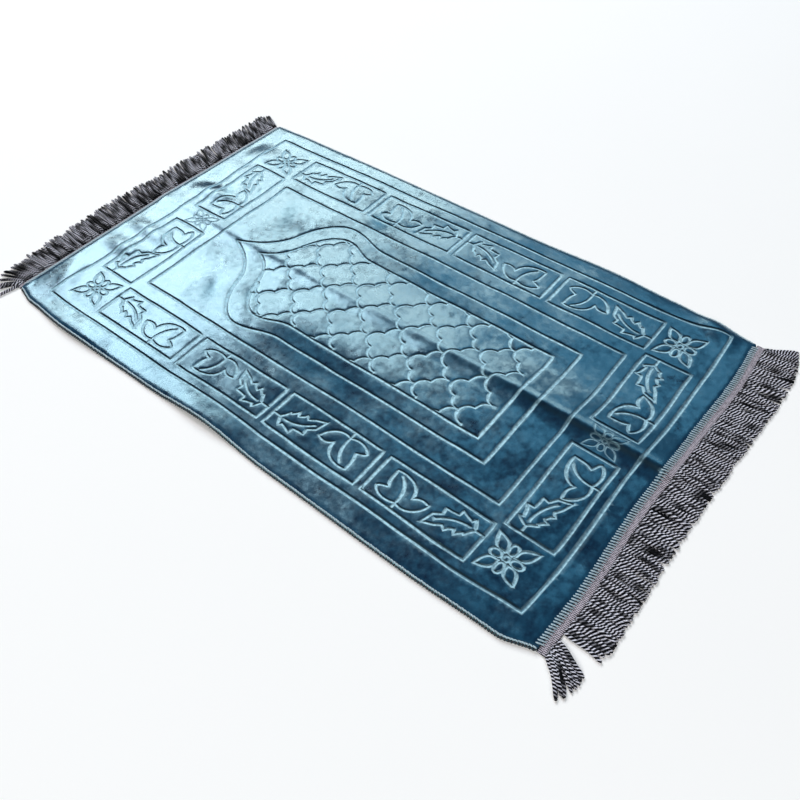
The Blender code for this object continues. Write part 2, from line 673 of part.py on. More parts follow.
# ================================================================ fringes
def build_fringe(name, end_y, outward, edge, comb, seed):
    """A heading tape with its strands. outward is -1 at the near end and 1 at the far end.

    Each strand's points come in blocks: the tape's back, low and high, then rings of left,
    right and top points along the strand, the first of them on the tape's front, then the tip.
    """
    chance = np.random.default_rng(seed)
    comb_root, comb_x, comb_out = np.array(comb).T
    root_x = np.linspace(comb_root[0] + COMB_MARGIN, comb_root[-1] - COMB_MARGIN, STRANDS)
    back = np.interp(root_x, *edge) + NEIGHBOUR_GAP
    front = back + TAPE_WIDTH
    tip_x = np.interp(root_x, comb_root, comb_x)
    tip_out = np.interp(root_x, comb_root, comb_out) - STRAND_UNEVEN * chance.random(STRANDS)
    raised = lift(np.clip(root_x, 0, CLOTH_WIDTH), np.full(STRANDS, end_y))
    floor = np.zeros(STRANDS)

    def at(x, out, z):
        return np.column_stack([x, end_y + outward * out, z])

    half = STRAND_WIDTH / 2
    blocks = [at(root_x, back, raised), at(root_x, back, raised + TAPE_THICK),
              at(root_x - half, front, raised), at(root_x + half, front, raised),
              at(root_x, front, raised + TAPE_THICK)]
    sway = STRAND_SWAY * np.sin(np.arange(STRANDS) * 0.9)
    lean = np.arctan2(tip_x - root_x, tip_out - front)
    side_x, side_out = half * np.cos(lean), half * np.sin(lean)
    for share in STRAND_STATIONS:
        middle_x = root_x + (tip_x - root_x) * share + sway
        out = front + (tip_out - front) * share
        blocks += [at(middle_x - side_x, out + side_out, floor),
                   at(middle_x + side_x, out - side_out, floor),
                   at(middle_x, out, floor + STRAND_HEIGHT)]
    blocks.append(at(tip_x, tip_out, floor + STRAND_TIP_SHARE * STRAND_HEIGHT))

    back_low, back_high, left, right, top = range(5)
    rings = [(left + 3 * ring, right + 3 * ring, top + 3 * ring)
             for ring in range(1 + len(STRAND_STATIONS))]
    tip = len(blocks) - 1
    faces = []

    def add(*corners):
        faces.append([block * STRANDS + strand for block, strand in corners])

    for strand in range(STRANDS):
        for here, there in zip(rings, rings[1:]):
            for a, b in ((0, 1), (1, 2), (2, 0)):
                add((here[a], strand), (here[b], strand), (there[b], strand), (there[a], strand))
        for a, b in ((0, 1), (1, 2), (2, 0)):
            add((rings[-1][a], strand), (rings[-1][b], strand), (tip, strand))
        add((left, strand), (back_low, strand), (right, strand))
    for strand in range(STRANDS - 1):
        after = strand + 1
        add((back_low, strand), (back_high, strand), (back_high, after), (back_low, after))
        add((back_high, strand), (top, strand), (top, after), (back_high, after))
        add((right, strand), (back_low, strand), (back_low, after), (left, after))
        add((top, strand), (right, strand), (left, after), (top, after))
    for strand, corner in ((0, left), (STRANDS - 1, right)):
        add((back_low, strand), (corner, strand), (top, strand), (back_high, strand))
    return make_object(name, np.vstack(blocks), faces, fringe_material())


# ================================================================ objects
def principled(name, colour, roughness, sheen):
    material = bpy.data.materials.new(name)
    material.use_nodes = True
    shader = material.node_tree.nodes["Principled BSDF"]
    shader.inputs["Base Color"].default_value = (*colour, 1)
    shader.inputs["Roughness"].default_value = roughness
    shader.inputs["Metallic"].default_value = 0.0
    shader.inputs["Sheen Weight"].default_value = sheen
    return material


def cloth_material():
    return principled("velvet_teal", (0.075, 0.200, 0.270), 0.62, 0.6)


def fringe_material():
    return principled("twisted_yarn_grey", (0.150, 0.145, 0.175), 0.75, 0.2)


def make_object(name, verts, faces, material):
    mesh = bpy.data.meshes.new(name)
    mesh.from_pydata([tuple(vert) for vert in verts], [], faces)
    mesh.materials.append(material)
    piece = bpy.data.objects.new(name, mesh)
    bpy.context.scene.collection.objects.link(piece)
    turn_outwards(mesh)
    mesh.shade_smooth()
    mesh.set_sharp_from_angle(angle=math.radians(35))
    return piece


def turn_outwards(mesh):
    """Gives every face one consistent outward side."""
    shape = bmesh.new()
    shape.from_mesh(mesh)
    bmesh.ops.recalc_face_normals(shape, faces=shape.faces)
    bmesh.ops.triangulate(shape, faces=shape.faces)
    shape.to_mesh(mesh)
    shape.free()


def centre_on_box(pieces):
    """Moves the whole part so that the middle of its box stands over the origin."""
    corners = [np.array([vert.co for vert in piece.data.vertices]) for piece in pieces]
    stacked = np.vstack(corners)
    middle = (stacked.min(axis=0) + stacked.max(axis=0)) / 2
    for piece, points in zip(pieces, corners):
        points = points - (middle[0], middle[1], 0)
        piece.data.vertices.foreach_set("co", points.astype(np.float32).ravel())
        piece.data.update()


def main():
    for old in list(bpy.data.objects):
        bpy.data.objects.remove(old)
    pieces = [
        build_cloth(),
        build_fringe("fringe_near", 0.0, -1, near_end(), NEAR_COMB, 11),
        build_fringe("fringe_far", CLOTH_LENGTH, 1, far_end(), FAR_COMB, 12),
    ]
    centre_on_box(pieces)


main()
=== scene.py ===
"""Looks of a padded velvet prayer rug: pressed cloth, overlocked rim, woven tapes and twisted cords.

Plan coordinates are those the rug is cut to, in metres: x across it from the near long edge, y
along it from the near short end, z up from the floor. on_floor() moves them to the row frame.
"""

import math
from typing import NamedTuple

import bpy
import numpy as np
from bpy.props import FloatProperty, FloatVectorProperty, IntProperty, PointerProperty
from mathutils import Matrix, Vector
from mathutils.geometry import delaunay_2d_cdt


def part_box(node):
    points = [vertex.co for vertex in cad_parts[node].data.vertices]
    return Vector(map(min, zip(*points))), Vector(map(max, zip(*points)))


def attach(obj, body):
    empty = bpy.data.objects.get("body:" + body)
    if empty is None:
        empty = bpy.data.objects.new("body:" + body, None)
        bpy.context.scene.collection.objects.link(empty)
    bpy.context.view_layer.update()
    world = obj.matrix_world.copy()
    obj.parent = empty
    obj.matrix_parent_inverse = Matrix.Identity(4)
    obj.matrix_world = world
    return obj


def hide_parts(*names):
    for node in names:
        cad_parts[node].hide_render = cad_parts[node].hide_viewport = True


bl_info = {
    "name": "Pressed velvet prayer rug",
    "version": (1, 0, 0),
    "blender": (4, 5, 0),
    "location": "View3D > Sidebar > Rug",
    "description": "Builds the cloth, overlocking, tapes, cords and studio of a prayer rug",
    "category": "Object",
}

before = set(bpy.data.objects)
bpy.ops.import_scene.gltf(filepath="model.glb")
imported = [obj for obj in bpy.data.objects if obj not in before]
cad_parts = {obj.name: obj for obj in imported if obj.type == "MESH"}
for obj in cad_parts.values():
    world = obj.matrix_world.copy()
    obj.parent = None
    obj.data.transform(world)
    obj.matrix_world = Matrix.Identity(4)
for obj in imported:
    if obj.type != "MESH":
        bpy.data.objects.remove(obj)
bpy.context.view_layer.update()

MM = 0.001

# ---------------------------------------------------------------- the cloth as it is cut and laid
CLOTH_WIDTH = 0.660
CLOTH_LENGTH = 1.100
CLOTH_THICK = 0.0070
RIM_THICK = 0.0045          # where the overlocking squeezes the padding
RIM_WIDTH = 0.011
CORNER_ROUND = 0.005

# How far each edge of the laid cloth bellies out past its straight line.
# Columns: place along the edge, outward offset.
NEAR_LONG_EDGE = ((0.000, 0.004), (0.055, 0.018), (0.200, 0.021), (0.450, 0.019), (0.590, 0.014),
                  (0.750, 0.019), (0.950, 0.023), (1.050, 0.017), (1.100, 0.007))
FAR_LONG_EDGE = ((0.000, 0.000), (0.080, 0.008), (0.150, 0.012), (0.270, 0.017), (0.450, 0.011),
                 (0.800, 0.010), (1.000, 0.007), (1.100, 0.003))
NEAR_SHORT_EDGE = ((0.000, -0.003), (0.100, 0.001), (0.250, -0.003), (0.400, 0.001),
                   (0.560, 0.006), (0.660, 0.001))
FAR_SHORT_EDGE = ((0.000, 0.001), (0.200, 0.003), (0.340, 0.006), (0.500, 0.003), (0.660, 0.000))

# The long fold. Columns: place along the rug, where its crest is across it.
RIDGE_PLACE = ((0.000, 0.3345), (0.150, 0.3355), (0.250, 0.3348), (0.450, 0.3342),
               (0.550, 0.3350), (0.850, 0.3368), (1.100, 0.3370))
# Columns: place along the rug, height there.
RIDGE_HEIGHT = ((0.000, 0.0080), (0.090, 0.0095), (0.250, 0.0078), (0.450, 0.0050),
                (0.600, 0.0028), (0.750, 0.0019), (1.100, 0.0015))
RIDGE_NEAR_FOOT = 0.030
RIDGE_FAR_FOOT = 0.070
RIDGE_CREST = 0.10          # how round its crest is, as a share of its foot
RIDGE_NEAR_SAG = 1.5        # how much its sides hang in: the power its tent goes with
RIDGE_FAR_SAG = 1.05
RIDGE_RAILS = (-0.012, -0.008, -0.005, -0.0025, 0.0, 0.0025, 0.005, 0.008, 0.012)
# Its near side is in its own shade by the near end. Columns: place along the rug, how dark.
RIDGE_SHADE = ((0.000, 0.75), (0.200, 0.60), (0.300, 0.30), (0.450, 0.05), (0.700, 0.0),
               (1.100, 0.0))
RIDGE_SHADE_REACH = (-0.006, 0.010)     # middle and half width, from the crest

# Smaller waves. Columns: x, y, heading of the crest in degrees from +x, half length, half width,
# height.
WAVES = (
    (0.182, 1.035, 90, 0.070, 0.030, 0.0042),
    (0.243, 1.030, 84, 0.085, 0.026, 0.0038),
    (0.402, 1.030, 98, 0.080, 0.034, 0.0060),
    (0.560, 1.040, 90, 0.060, 0.045, 0.0036),
    (0.060, 1.045, 32, 0.095, 0.030, 0.0018),
    (-0.004, 0.610, 90, 0.110, 0.050, 0.0065),
    (-0.006, 0.930, 90, 0.120, 0.045, 0.0050),
    (0.645, 0.060, 60, 0.060, 0.034, 0.0060),
)
WAVE_END_FADE = 0.03

# Smudges, where the padding is pushed in a little and the pile lies away from the light.
# Columns: x, y, heading in degrees from +x, half length, half width, how dark.
SMUDGES = (
    (0.102, 1.072, 28, 0.048, 0.010, 0.50),
    (0.042, 1.040, 15, 0.020, 0.008, 0.35),
    (0.016, 1.088, 25, 0.018, 0.007, 0.50),
    (0.129, 1.010, 75, 0.012, 0.007, 0.45),
    (0.230, 1.093, 10, 0.022, 0.006, 0.40),
    (0.403, 1.042, 20, 0.022, 0.009, 0.70),
    (0.425, 1.008, 40, 0.034, 0.022, 0.95),
    (0.458, 0.957, 18, 0.028, 0.010, 0.50),
    (0.008, 0.755, 10, 0.013, 0.005, 0.45),
    (0.008, 0.905, 5, 0.013, 0.005, 0.45),
    (0.008, 0.965, 15, 0.014, 0.005, 0.45),
    (0.010, 1.025, 20, 0.013, 0.005, 0.45),
    (0.202, 0.818, 28, 0.048, 0.024, 0.75),
    (0.450, 0.860, 22, 0.070, 0.026, 0.45),
    (0.530, 0.700, 60, 0.050, 0.030, 0.60),
    (0.235, 0.750, 30, 0.030, 0.018, 0.60),
)
SMUDGE_DEPTH = 0.0009
# How far the pile is laid over, as a tilt of its gloss in radians, away from the camera's side
# where positive. Columns: x, y, heading in degrees from +x, half length, half width, tilt.
PILE_LAY = (
    (0.090, 0.530, 90, 0.300, 0.170, -0.135),
    (0.205, 0.560, 90, 0.190, 0.065, -0.170),
    (0.150, 0.250, 80, 0.120, 0.120, -0.050),
    (0.470, 0.510, 90, 0.180, 0.110, -0.080),
    (0.385, 0.190, 90, 0.200, 0.090, 0.090),
    (0.540, 0.020, 0, 0.200, 0.060, 0.060),
    (0.150, 0.060, 0, 0.200, 0.100, -0.060),
)
# Inside the inner arch it is laid over more. Columns: place along the rug, tilt.
LATTICE_LAY = ((0.250, 0.010), (0.400, 0.045), (0.500, 0.075), (0.600, 0.080), (0.690, 0.060),
               (0.780, 0.020), (0.830, 0.0))
# Just short of the fold's crest it lies away from the light, and just past it to the light.
# Columns: place along the rug, tilt.
SHORT_OF_CREST_LAY = ((0.000, 0.0), (0.350, 0.0), (0.500, -0.060), (0.700, -0.120),
                      (0.900, -0.110), (1.100, -0.060))
PAST_CREST_LAY = ((0.000, 0.200), (0.100, 0.130), (0.180, 0.110), (0.260, 0.190), (0.350, 0.180),
                  (0.500, 0.100), (0.600, 0.0), (1.100, 0.0))
CREST_LAY_REACHES = ((-0.007, 0.009), (0.0065, 0.0085))     # middle and half width of each
# And the crest itself gets a painted highlight in the pale of the melted lines. Columns: place along
# the rug, how pale.
CREST_PAINTED_HIGHLIGHT = ((0.000, 0.0), (0.200, 0.10), (0.330, 0.40), (0.500, 0.40), (0.650, 0.15),
              (0.750, 0.0), (1.100, 0.0))
CREST_HIGHLIGHT_REACH = (0.0045, 0.0060)
CLOUD_LAY = 0.27            # how much the lay wanders from place to place, and from tuft to tuft
TUFT_LAY = 0.18
STRAY_BY_END = (1.50, 0.60)     # how much more or less of that by the near and by the far end
SMUDGE_LAY = -0.12
# Tilt of the gloss where shade is painted, so that the gloss drops there too.
PAINTED_SHADE_LAY = -0.35
LAY_WAY = (0.10, 0.995, 0.0)

# Where the pattern is pulled out of true. Columns: x, y, reach in x, reach in y, shift in x,
# shift in y.
PULLS = (
    (0.030, 0.640, 0.080, 0.080, 0.0040, 0.0),
    (0.645, 0.045, 0.050, 0.045, 0.0110, 0.0020),
    (0.010, 0.060, 0.060, 0.060, 0.0040, 0.0050),
    (0.470, 0.045, 0.110, 0.025, 0.0, -0.0040),
    (0.600, 0.105, 0.060, 0.060, 0.0035, -0.0010),
    (0.100, 0.440, 0.110, 0.090, 0.0028, 0.0),
    (0.625, 0.450, 0.040, 0.260, 0.0032, 0.0),
    (0.515, 0.250, 0.040, 0.100, -0.0022, 0.0),
    (0.520, 0.860, 0.050, 0.090, -0.0024, 0.0),
)
# The pattern sits this much nearer the near end than it was cut. Columns: place along the rug,
# shift; one table for each long edge.
NEAR_SIDE_SLIP = ((0.000, 0.0005), (0.150, 0.0005), (0.335, 0.0015), (0.540, 0.0035),
                  (0.740, 0.0055), (1.100, 0.0070))
FAR_SIDE_SLIP = ((0.000, 0.0020), (0.150, 0.0045), (0.340, 0.0045), (0.540, 0.0025),
                 (0.740, 0.0015), (0.940, 0.0025), (1.100, 0.0045))
FAR_RIGHT_TAPER = 0.008
PATTERN_WANDER = (0.0008, 0.0010)
LINE_WOBBLE = (0.050, 0.0009)           # size of a bend, how far it takes a line aside
LINE_UNEVEN = (0.033, 0.14)             # length of a stretch, how much its width differs
CROWN = 0.0006
# Soft hollows of handled padding. Columns: size of a hollow, height.
HOLLOWS = ((0.085, 0.0009), (0.036, 0.00034), (0.016, 0.00010))
# Between the lattice's waves the padding swells. Columns: height, how far from a line it takes.
LATTICE_SWELL = (0.0003, 0.012)
# The pale melted pile of a line, partly a painted highlight, narrows, and the upright pile beside
# it gets painted shade, on the side that lies this way from the line.
SHADY_WAY = (0.93, 0.37)
MELT_NARROWS = 0.85
SHADE_BAND = (0.05, 0.40, 0.85, 1.25)   # where the shade starts, is full, ends: of a half width
# By the near end only a line's two edges are melted, its middle less so.
HOLLOW_LINES_UP_TO = (0.150, 0.260)

# ---------------------------------------------------------------- the pressed pattern
PATTERN_MID = 0.3255
OUTER_SIDES = (0.0215, 0.6335)
OUTER_ENDS = (0.040, 1.050)
FIELD_HALF = 0.182
FIELD_ENDS = (0.1605, 0.925)
SIDE_PANEL_HALVES = (0.2850, 0.2120)
SIDE_PANELS = ((0.146, 0.331), (0.345, 0.532), (0.545, 0.735), (0.748, 0.939))
END_PANEL_HALVES = (0.2025, 0.0260)
END_PANELS = ((0.058, 0.136), (0.949, 1.030))

# Arch outlines. Columns: half width, base, pinch height, widest half width and its height,
# shoulder half width and its height, point height.
OUTER_ARCH = (0.138, 0.2175, 0.635, 0.1585, 0.724, 0.075, 0.802, 0.884)
INNER_ARCH = (0.1055, 0.2515, 0.640, 0.1245, 0.711, 0.058, 0.771, 0.823)
ARCH_SWELL, ARCH_RISE, ARCH_HOOK = 0.4, 0.5, 0.3        # pulls of its three curves, as shares

LATTICE_COLUMN = 0.040
LATTICE_ROW = 0.0876
LATTICE_DROP = 0.038
LATTICE_ROWS = 6
LATTICE_FIRST_TOPS = (0.306, 0.347)     # of the waves that top out on even and on odd columns
SCALLOP_SHARES = (0.475, 0.525)         # of a column, taken by its upper and its lower quarter

LEAF_LENGTH = 0.068
LEAF_LEAN = 0.034
LEAF_HALF_WIDTHS = (0.021, 0.0155)      # on the side it leans to, and on the other
LEAF_STALK = 0.014
LEAF_INSET = 0.047
LEAF_RIB_PULLS = ((0.36, -0.12), (0.75, 0.20))          # as shares of its length and its lean
# The saw edges, on the side it leans to and on the other. Columns: share of the way to the tip,
# share of the full width there.
LEAF_SAWS = (
    ((0.0, 0.0), (0.06, 0.60), (0.13, 1.0), (0.17, 0.80), (0.30, 1.0), (0.36, 1.16), (0.39, 0.72),
     (0.54, 0.86), (0.63, 1.14), (0.66, 0.66), (0.82, 0.84), (1.0, 0.0)),
    ((0.0, 0.0), (0.07, 0.85), (0.12, 1.25), (0.16, 0.72), (0.28, 0.92), (0.36, 1.30),
     (0.40, 0.66), (0.52, 0.90), (0.61, 1.32), (0.65, 0.60), (0.80, 0.95), (1.0, 0.0)),
)

FLOWER_STALK = 0.013
FLOWER_ALONG = 0.130
# Three-lobed flower, drawn from its joint: first pull, second pull and end of each stretch of
# its edge, each as (into the panel, to the side) in millimetres.
FLOWER_EDGE = (
    ((-6, 14), (-6, 32), (7, 41)),
    ((12, 38), (13, 31), (16, 25)),
    ((24, 31), (34, 30), (47, 31)),
    ((51, 14), (46, -14), (20, -16)),
    ((29, -24), (28, -33), (25, -42)),
    ((8, -39), (-8, -20), (0, 0)),
)
FLOWER_VEIN = ((16, -2), (32, 4), (42, 17))
END_LEAF_DROP = 0.024
END_FLOWER_ALONG = 0.125

ROSETTE_SIZE = (0.062, 0.064)
MIDDLE_ROSETTE_SIZE = (0.040, 0.056)
MIDDLE_ROSETTE_DROP = 0.004
ROSETTE_MIDDLES_Y = (0.101, 0.988)
ROSETTE_HALF = 0.248
ROSETTE_LEAF_ROOT = 0.24                # shares of the rosette's half size
ROSETTE_LEAF_BULGE = (0.26, 0.78)
ROSETTE_PETAL = (0.53, 0.30, 0.20)      # middle, half length, half width
ROSETTE_EYE = 0.15

# ---------------------------------------------------------------- tapes and cords
TAPE_WIDTH = 0.0140
FAR_TAPE_WIDTH = 0.0075     # the rest of it is folded under
TAPE_THICK = 0.0022
TAPE_RIB = 0.0026           # from one rib of its weave to the next
CORDS = 134
PLY_TWIST = 0.0100          # one full turn of the two plies along a cord
BUNCHED_CORDS = 8           # more cords in the bunch at the near long edge
BUNCH_ROOTS = (0.000, 0.026)
NEAR_GAP = (0.0285, 0.0350)     # no cord has its root here
# How each fringe is combed. Columns: root x, tip x, how far the tip lies out from the straight
# end of the cloth.
NEAR_COMB = ((-0.004, -0.044, 0.048), (0.010, -0.020, 0.059), (0.0285, 0.007, 0.064),
             (0.0350, 0.030, 0.066), (0.050, 0.051, 0.072), (0.200, 0.201, 0.070),
             (0.330, 0.332, 0.071), (0.430, 0.435, 0.075), (0.560, 0.566, 0.080),
             (0.620, 0.632, 0.078), (0.662, 0.690, 0.062))
FAR_COMB = ((-0.006, -0.058, 0.018), (0.004, -0.034, 0.044), (0.018, -0.004, 0.064),
            (0.060, 0.060, 0.074), (0.200, 0.206, 0.079), (0.270, 0.280, 0.084),
            (0.340, 0.353, 0.080), (0.420, 0.436, 0.077), (0.560, 0.585, 0.070),
            (0.640, 0.664, 0.068), (0.662, 0.685, 0.052))
COMB_MARGIN = 0.003
# Where the cords part a little into bunches: root x.
NEAR_PARTINGS = (0.090, 0.345, 0.405, 0.455, 0.520, 0.560)
FAR_PARTINGS = (0.090, 0.150, 0.235, 0.300, 0.395, 0.470, 0.545)

# ---------------------------------------------------------------- the camera, in plan coordinates
CAMERA_AT = (-0.40204, -0.13035, 0.95566)
CAMERA_LOOK = (0.49044, 0.41763, -0.76489)
CAMERA_UP = (0.60507, 0.46848, 0.64376)
CAMERA_LENS_MM = 35.72


# ================================================================ settings
def length(name, description, default):
    return FloatProperty(name=name, description=description, default=default, unit="LENGTH")


def power(name, description, default):
    return FloatProperty(name=name, description=description, default=default, unit="POWER")


def colour(name, description, default):
    """A colour's setting. Its default is an sRGB hex value, two digits each for red, green and
    blue."""
    parts = [int(default[at:at + 2], 16) / 255 for at in (0, 2, 4)]
    return FloatVectorProperty(name=name, description=f"{description}, sRGB",
                               subtype="COLOR_GAMMA", default=parts, size=3, min=0, max=1)


class RugSizes(bpy.types.PropertyGroup):
    line_half: length("Line half width", "Half width of the pressed frame and arch lines", 0.0033)
    line_depth: length("Line depth", "Depth of the pressed frame and arch lines", 0.0011)
    motif_half: length("Motif half width", "Half width of the leaf, flower and lattice lines",
                       0.0027)
    motif_depth: length("Motif depth", "Depth of the leaf, flower and lattice lines", 0.0010)
    stitch_pitch: length("Stitch pitch", "Distance from one overlock stitch to the next", 0.0046)
    thread: length("Thread thickness", "Thickness of the overlock thread", 0.0023)
    cord: length("Cord thickness", "Thickness of one fringe cord", 0.0056)
    near_unevenness: length("Near unevenness", "How much the near cords differ in length", 0.0030)
    far_unevenness: length("Far unevenness", "How much the far cords differ in length", 0.0100)
    loose_cords: IntProperty(
        name="Loose cords", description="Cords that lie over the others at each end", default=30)


class RugColours(bpy.types.PropertyGroup):
    velvet: colour("Velvet", "Velvet pile seen from above", "061A34")
    velvet_light: colour("Brushed velvet", "Velvet pile leaning to the eye", "144460")
    velvet_wiped: colour("Wiped velvet", "Velvet pile that a hand has wiped over", "22627C")
    # Painted shade: pile beside the lines on their shaded side, on the fold's near side by the near
    # end and along the near long edge, nearly black.
    velvet_painted_shade: colour("Turned velvet", "Velvet pile leaning away from the light", "030A16")
    # Pale of the melted lines: partly the melted pile's own tone, partly a painted highlight; also
    # the painted highlight on the fold's crest.
    pressed: colour("Pressed pile", "Pile flattened by the hot press", "B4DEEE")
    thread: colour("Pale thread", "Needle thread of the overlocking", "C4E0EE")
    # The same looper thread as the far edge's teal one, painted near black as shade on the near
    # side.
    rim_thread_painted_shade: colour("Dark thread", "Looper thread round the near long edge", "121826")
    far_thread: colour("Teal thread", "Looper thread round the far long edge", "5A8698")
    tape: colour("Heading tape", "Woven tape at the root of the fringe", "C2BAC8")
    yarn: colour("Fringe yarn", "Crest of the twisted yarn", "E6E7F6")
    # Painted shade: the crease between the plies, and stretches of cord between their neighbours.
    yarn_painted_shade: colour("Between the plies", "Yarn in the crease between two plies", "02040A")
    floor: colour("Floor", "Plain pale floor", "FAFAFA")


class RugStudio(bpy.types.PropertyGroup):
    window: power("Window", "Power of the wide window light", 570)
    high_window: power("High window", "Power of the window light above it", 350)
    sky_panel: power("Sky panel", "Power of the blue light from the right", 110)
    room_lamp: power("Room lamp", "Power of the wide light behind the camera", 540)
    low_lamp: power("Low lamp", "Power of the light from the near end", 180)
    room: FloatProperty(
        name="Room", description="Brightness of the room all round", default=0.01)


# ================================================================ curves
def smooth_table(table, place):
    """Value of a two-column table at each place: eased as 3t^2 - 2t^3 from row to row."""
    rows = np.array(table)
    index = np.clip(np.searchsorted(rows[:, 0], place) - 1, 0, len(rows) - 2)
    span = rows[index + 1, 0] - rows[index, 0]
    share = np.clip((place - rows[index, 0]) / span, 0, 1)
    ease = share * share * (3 - 2 * share)
    return rows[index, 1] * (1 - ease) + rows[index + 1, 1] * ease


def curve(start, pull_start, pull_end, end, steps):
    """Cubic Bezier curve from start to end, drawn towards its two pulls."""
    start, pull_start, pull_end, end = map(np.array, (start, pull_start, pull_end, end))
    t = np.linspace(0, 1, steps + 1)[:, None]
    return ((1 - t) ** 3 * start + 3 * t * (1 - t) ** 2 * pull_start
            + 3 * t * t * (1 - t) * pull_end + t ** 3 * end)


def joined(*pieces):
    """One line through pieces that each start where the last one ends."""
    return np.vstack([pieces[0]] + [piece[1:] for piece in pieces[1:]])


def closed(ring):
    """The ring with its first point again at its end."""
    return np.vstack([ring, ring[:1]])


def straight(start, end):
    return np.array((start, end), float)


def mirrored(points):
    """The same line on the other side of the pattern's middle."""
    return np.stack([2 * PATTERN_MID - points[:, 0], points[:, 1]], axis=1)


def placed(points, joint, along, side):
    """Points given as (along, side) from a joint, in plan coordinates."""
    return np.array(joint) + points[:, :1] * np.array(along) + points[:, 1:] * np.array(side)


def stepped(line, step):
    """The line with each of its stretches cut into equal steps no longer than step."""
    length = np.linalg.norm(np.diff(line, axis=0), axis=1)
    count = np.maximum(1, np.ceil(length / step)).astype(int)
    first = np.repeat(np.arange(len(count)), count)
    share = (np.arange(count.sum()) - np.repeat(np.cumsum(count) - count, count)) / count[first]
    way = np.diff(line, axis=0)
    return np.vstack([line[first] + way[first] * share[:, None], line[-1:]])


def inside(points, outline):
    """Whether each point lies inside a closed outline, by counting crossings."""
    x, y = points[:, 0, None], points[:, 1, None]
    x0, y0 = outline[:-1, 0], outline[:-1, 1]
    x1, y1 = outline[1:, 0], outline[1:, 1]
    spans = (y0 > y) != (y1 > y)
    rise = np.where(y1 == y0, 1.0, y1 - y0)
    crossing = x0 + (y - y0) / rise * (x1 - x0)
    return (spans & (x < crossing)).sum(axis=1) % 2 == 1


def inside_in_blocks(points, outline):
    """inside() for many points, a few thousand at a time to spare memory."""
    blocks = np.array_split(points, max(1, len(points) // 3000))
    return np.concatenate([inside(block, outline) for block in blocks])


def rail(line, distance):
    """The line moved sideways by a distance, with its corners mitred."""
    is_closed = np.allclose(line[0], line[-1])
    ahead = np.diff(line, axis=0)
    ahead /= np.linalg.norm(ahead, axis=1)[:, None]
    before = np.vstack([ahead[-1:] if is_closed else ahead[:1], ahead])
    after = np.vstack([ahead, ahead[:1] if is_closed else ahead[-1:]])
    middle = before + after
    size = np.linalg.norm(middle, axis=1)[:, None]
    sharpest = 0.3
    middle = np.where(size > sharpest, middle / np.maximum(size, sharpest), after)
    normal = np.stack([-middle[:, 1], middle[:, 0]], axis=1)
    return line + distance * normal * 2 / np.maximum(size, 1.0)


# ================================================================ the pattern
def frame_line(left, right, low, high):
    return np.array(((left, low), (right, low), (right, high), (left, high), (left, low)))


def arch(half, base, pinch, wide, wide_y, shoulder, shoulder_y, point):
    """Pointed arch: straight sides that swell above a pinch and sweep in to a point."""
    swell = ARCH_SWELL * (wide_y - pinch)
    rise = ARCH_RISE * (shoulder_y - wide_y)
    hook = ARCH_HOOK * rise
    left = joined(
        straight((0, base), (-half, base)),
        straight((-half, base), (-half, pinch)),
        curve((-half, pinch), (-half, pinch + swell), (-wide, wide_y - swell), (-wide, wide_y),
              20),
        curve((-wide, wide_y), (-wide, wide_y + rise), (-shoulder - rise, shoulder_y - hook),
              (-shoulder, shoulder_y), 24),
        curve((-shoulder, shoulder_y), (-0.5 * shoulder, shoulder_y + hook),
              (-0.2 * shoulder, point - rise), (0, point), 24),
    )
    right = left[::-1] * (-1, 1)
    return joined(left, right) + (PATTERN_MID, 0)


def crossing_point(kept, lost, outline):
    """Where the way from a kept point to a lost one crosses the outline, found by halving."""
    for _ in range(16):
        middle = (kept + lost) / 2
        if inside(middle[None], outline)[0]:
            kept = middle
        else:
            lost = middle
    return kept


def cut_to(line, outline):
    """The stretches of a line that lie inside an outline."""
    keep = inside(line, outline)
    turns = np.nonzero(np.diff(keep.astype(int)))[0]
    stretches = []
    for part in np.split(np.arange(len(line)), turns + 1):
        if not keep[part[0]]:
            continue
        stretch = line[part]
        if part[0] > 0:
            start = crossing_point(line[part[0]], line[part[0] - 1], outline)
            stretch = np.vstack([start, stretch])
        if part[-1] < len(line) - 1:
            end = crossing_point(line[part[-1]], line[part[-1] + 1], outline)
            stretch = np.vstack([stretch, end])
        stretches.append(stretch)
    return [stretch for stretch in stretches if len(stretch) > 1]


def scallop():
    """Half a lattice wave, from its round top down to its point: two quarter rounds in a row."""
    turn = np.radians(np.linspace(0, 90, 9))
    quarter = np.stack([np.sin(turn), np.cos(turn) - 1], axis=1)
    upper, lower = (quarter * (share * LATTICE_COLUMN, LATTICE_DROP / 2)
                    for share in SCALLOP_SHARES)
    return joined(upper, upper[-1] + lower)


def lattice(outline):
    """Rows of waves, each second row shifted by a column, kept inside the arch."""
    half = scallop()
    wave = joined((half * (-1, 1))[::-1], half)
    strokes = []
    for odd, first_top in enumerate(LATTICE_FIRST_TOPS):
        for row in range(LATTICE_ROWS):
            tops = np.arange(-4 + odd, 5, 2) * LATTICE_COLUMN
            line = joined(*[wave + (top, 0) for top in tops])
            line = line + (PATTERN_MID, first_top + row * LATTICE_ROW)
            strokes += cut_to(line, outline)
    return strokes


def leaf(joint, along, side):
    """Saw-edged leaf that leans to one side, with its rib and stalk."""
    size = np.array((LEAF_LENGTH, LEAF_LEAN))
    first, second = (np.array(pull) * size for pull in LEAF_RIB_PULLS)
    fine = 100
    rib = curve((0, 0), first, second, size, fine)
    heading = np.gradient(rib, axis=0)
    normal = np.stack([-heading[:, 1], heading[:, 0]], axis=1)
    normal /= np.linalg.norm(normal, axis=1)[:, None]
    lines = []
    for half, saw, way in zip(LEAF_HALF_WIDTHS, LEAF_SAWS, (1, -1)):
        t, tooth = np.array(saw).T
        width = np.sqrt(1 - (1 - t) ** 6) * (1 - t ** 3) ** 0.8 * tooth
        at = np.round(t * fine).astype(int)
        lines.append(rib[at] + way * half * width[:, None] * normal[at])
    lines += [np.array([(-LEAF_STALK, 0), (0, 0)]), rib[14:78:7]]
    return [placed(line, joint, along, side) for line in lines]


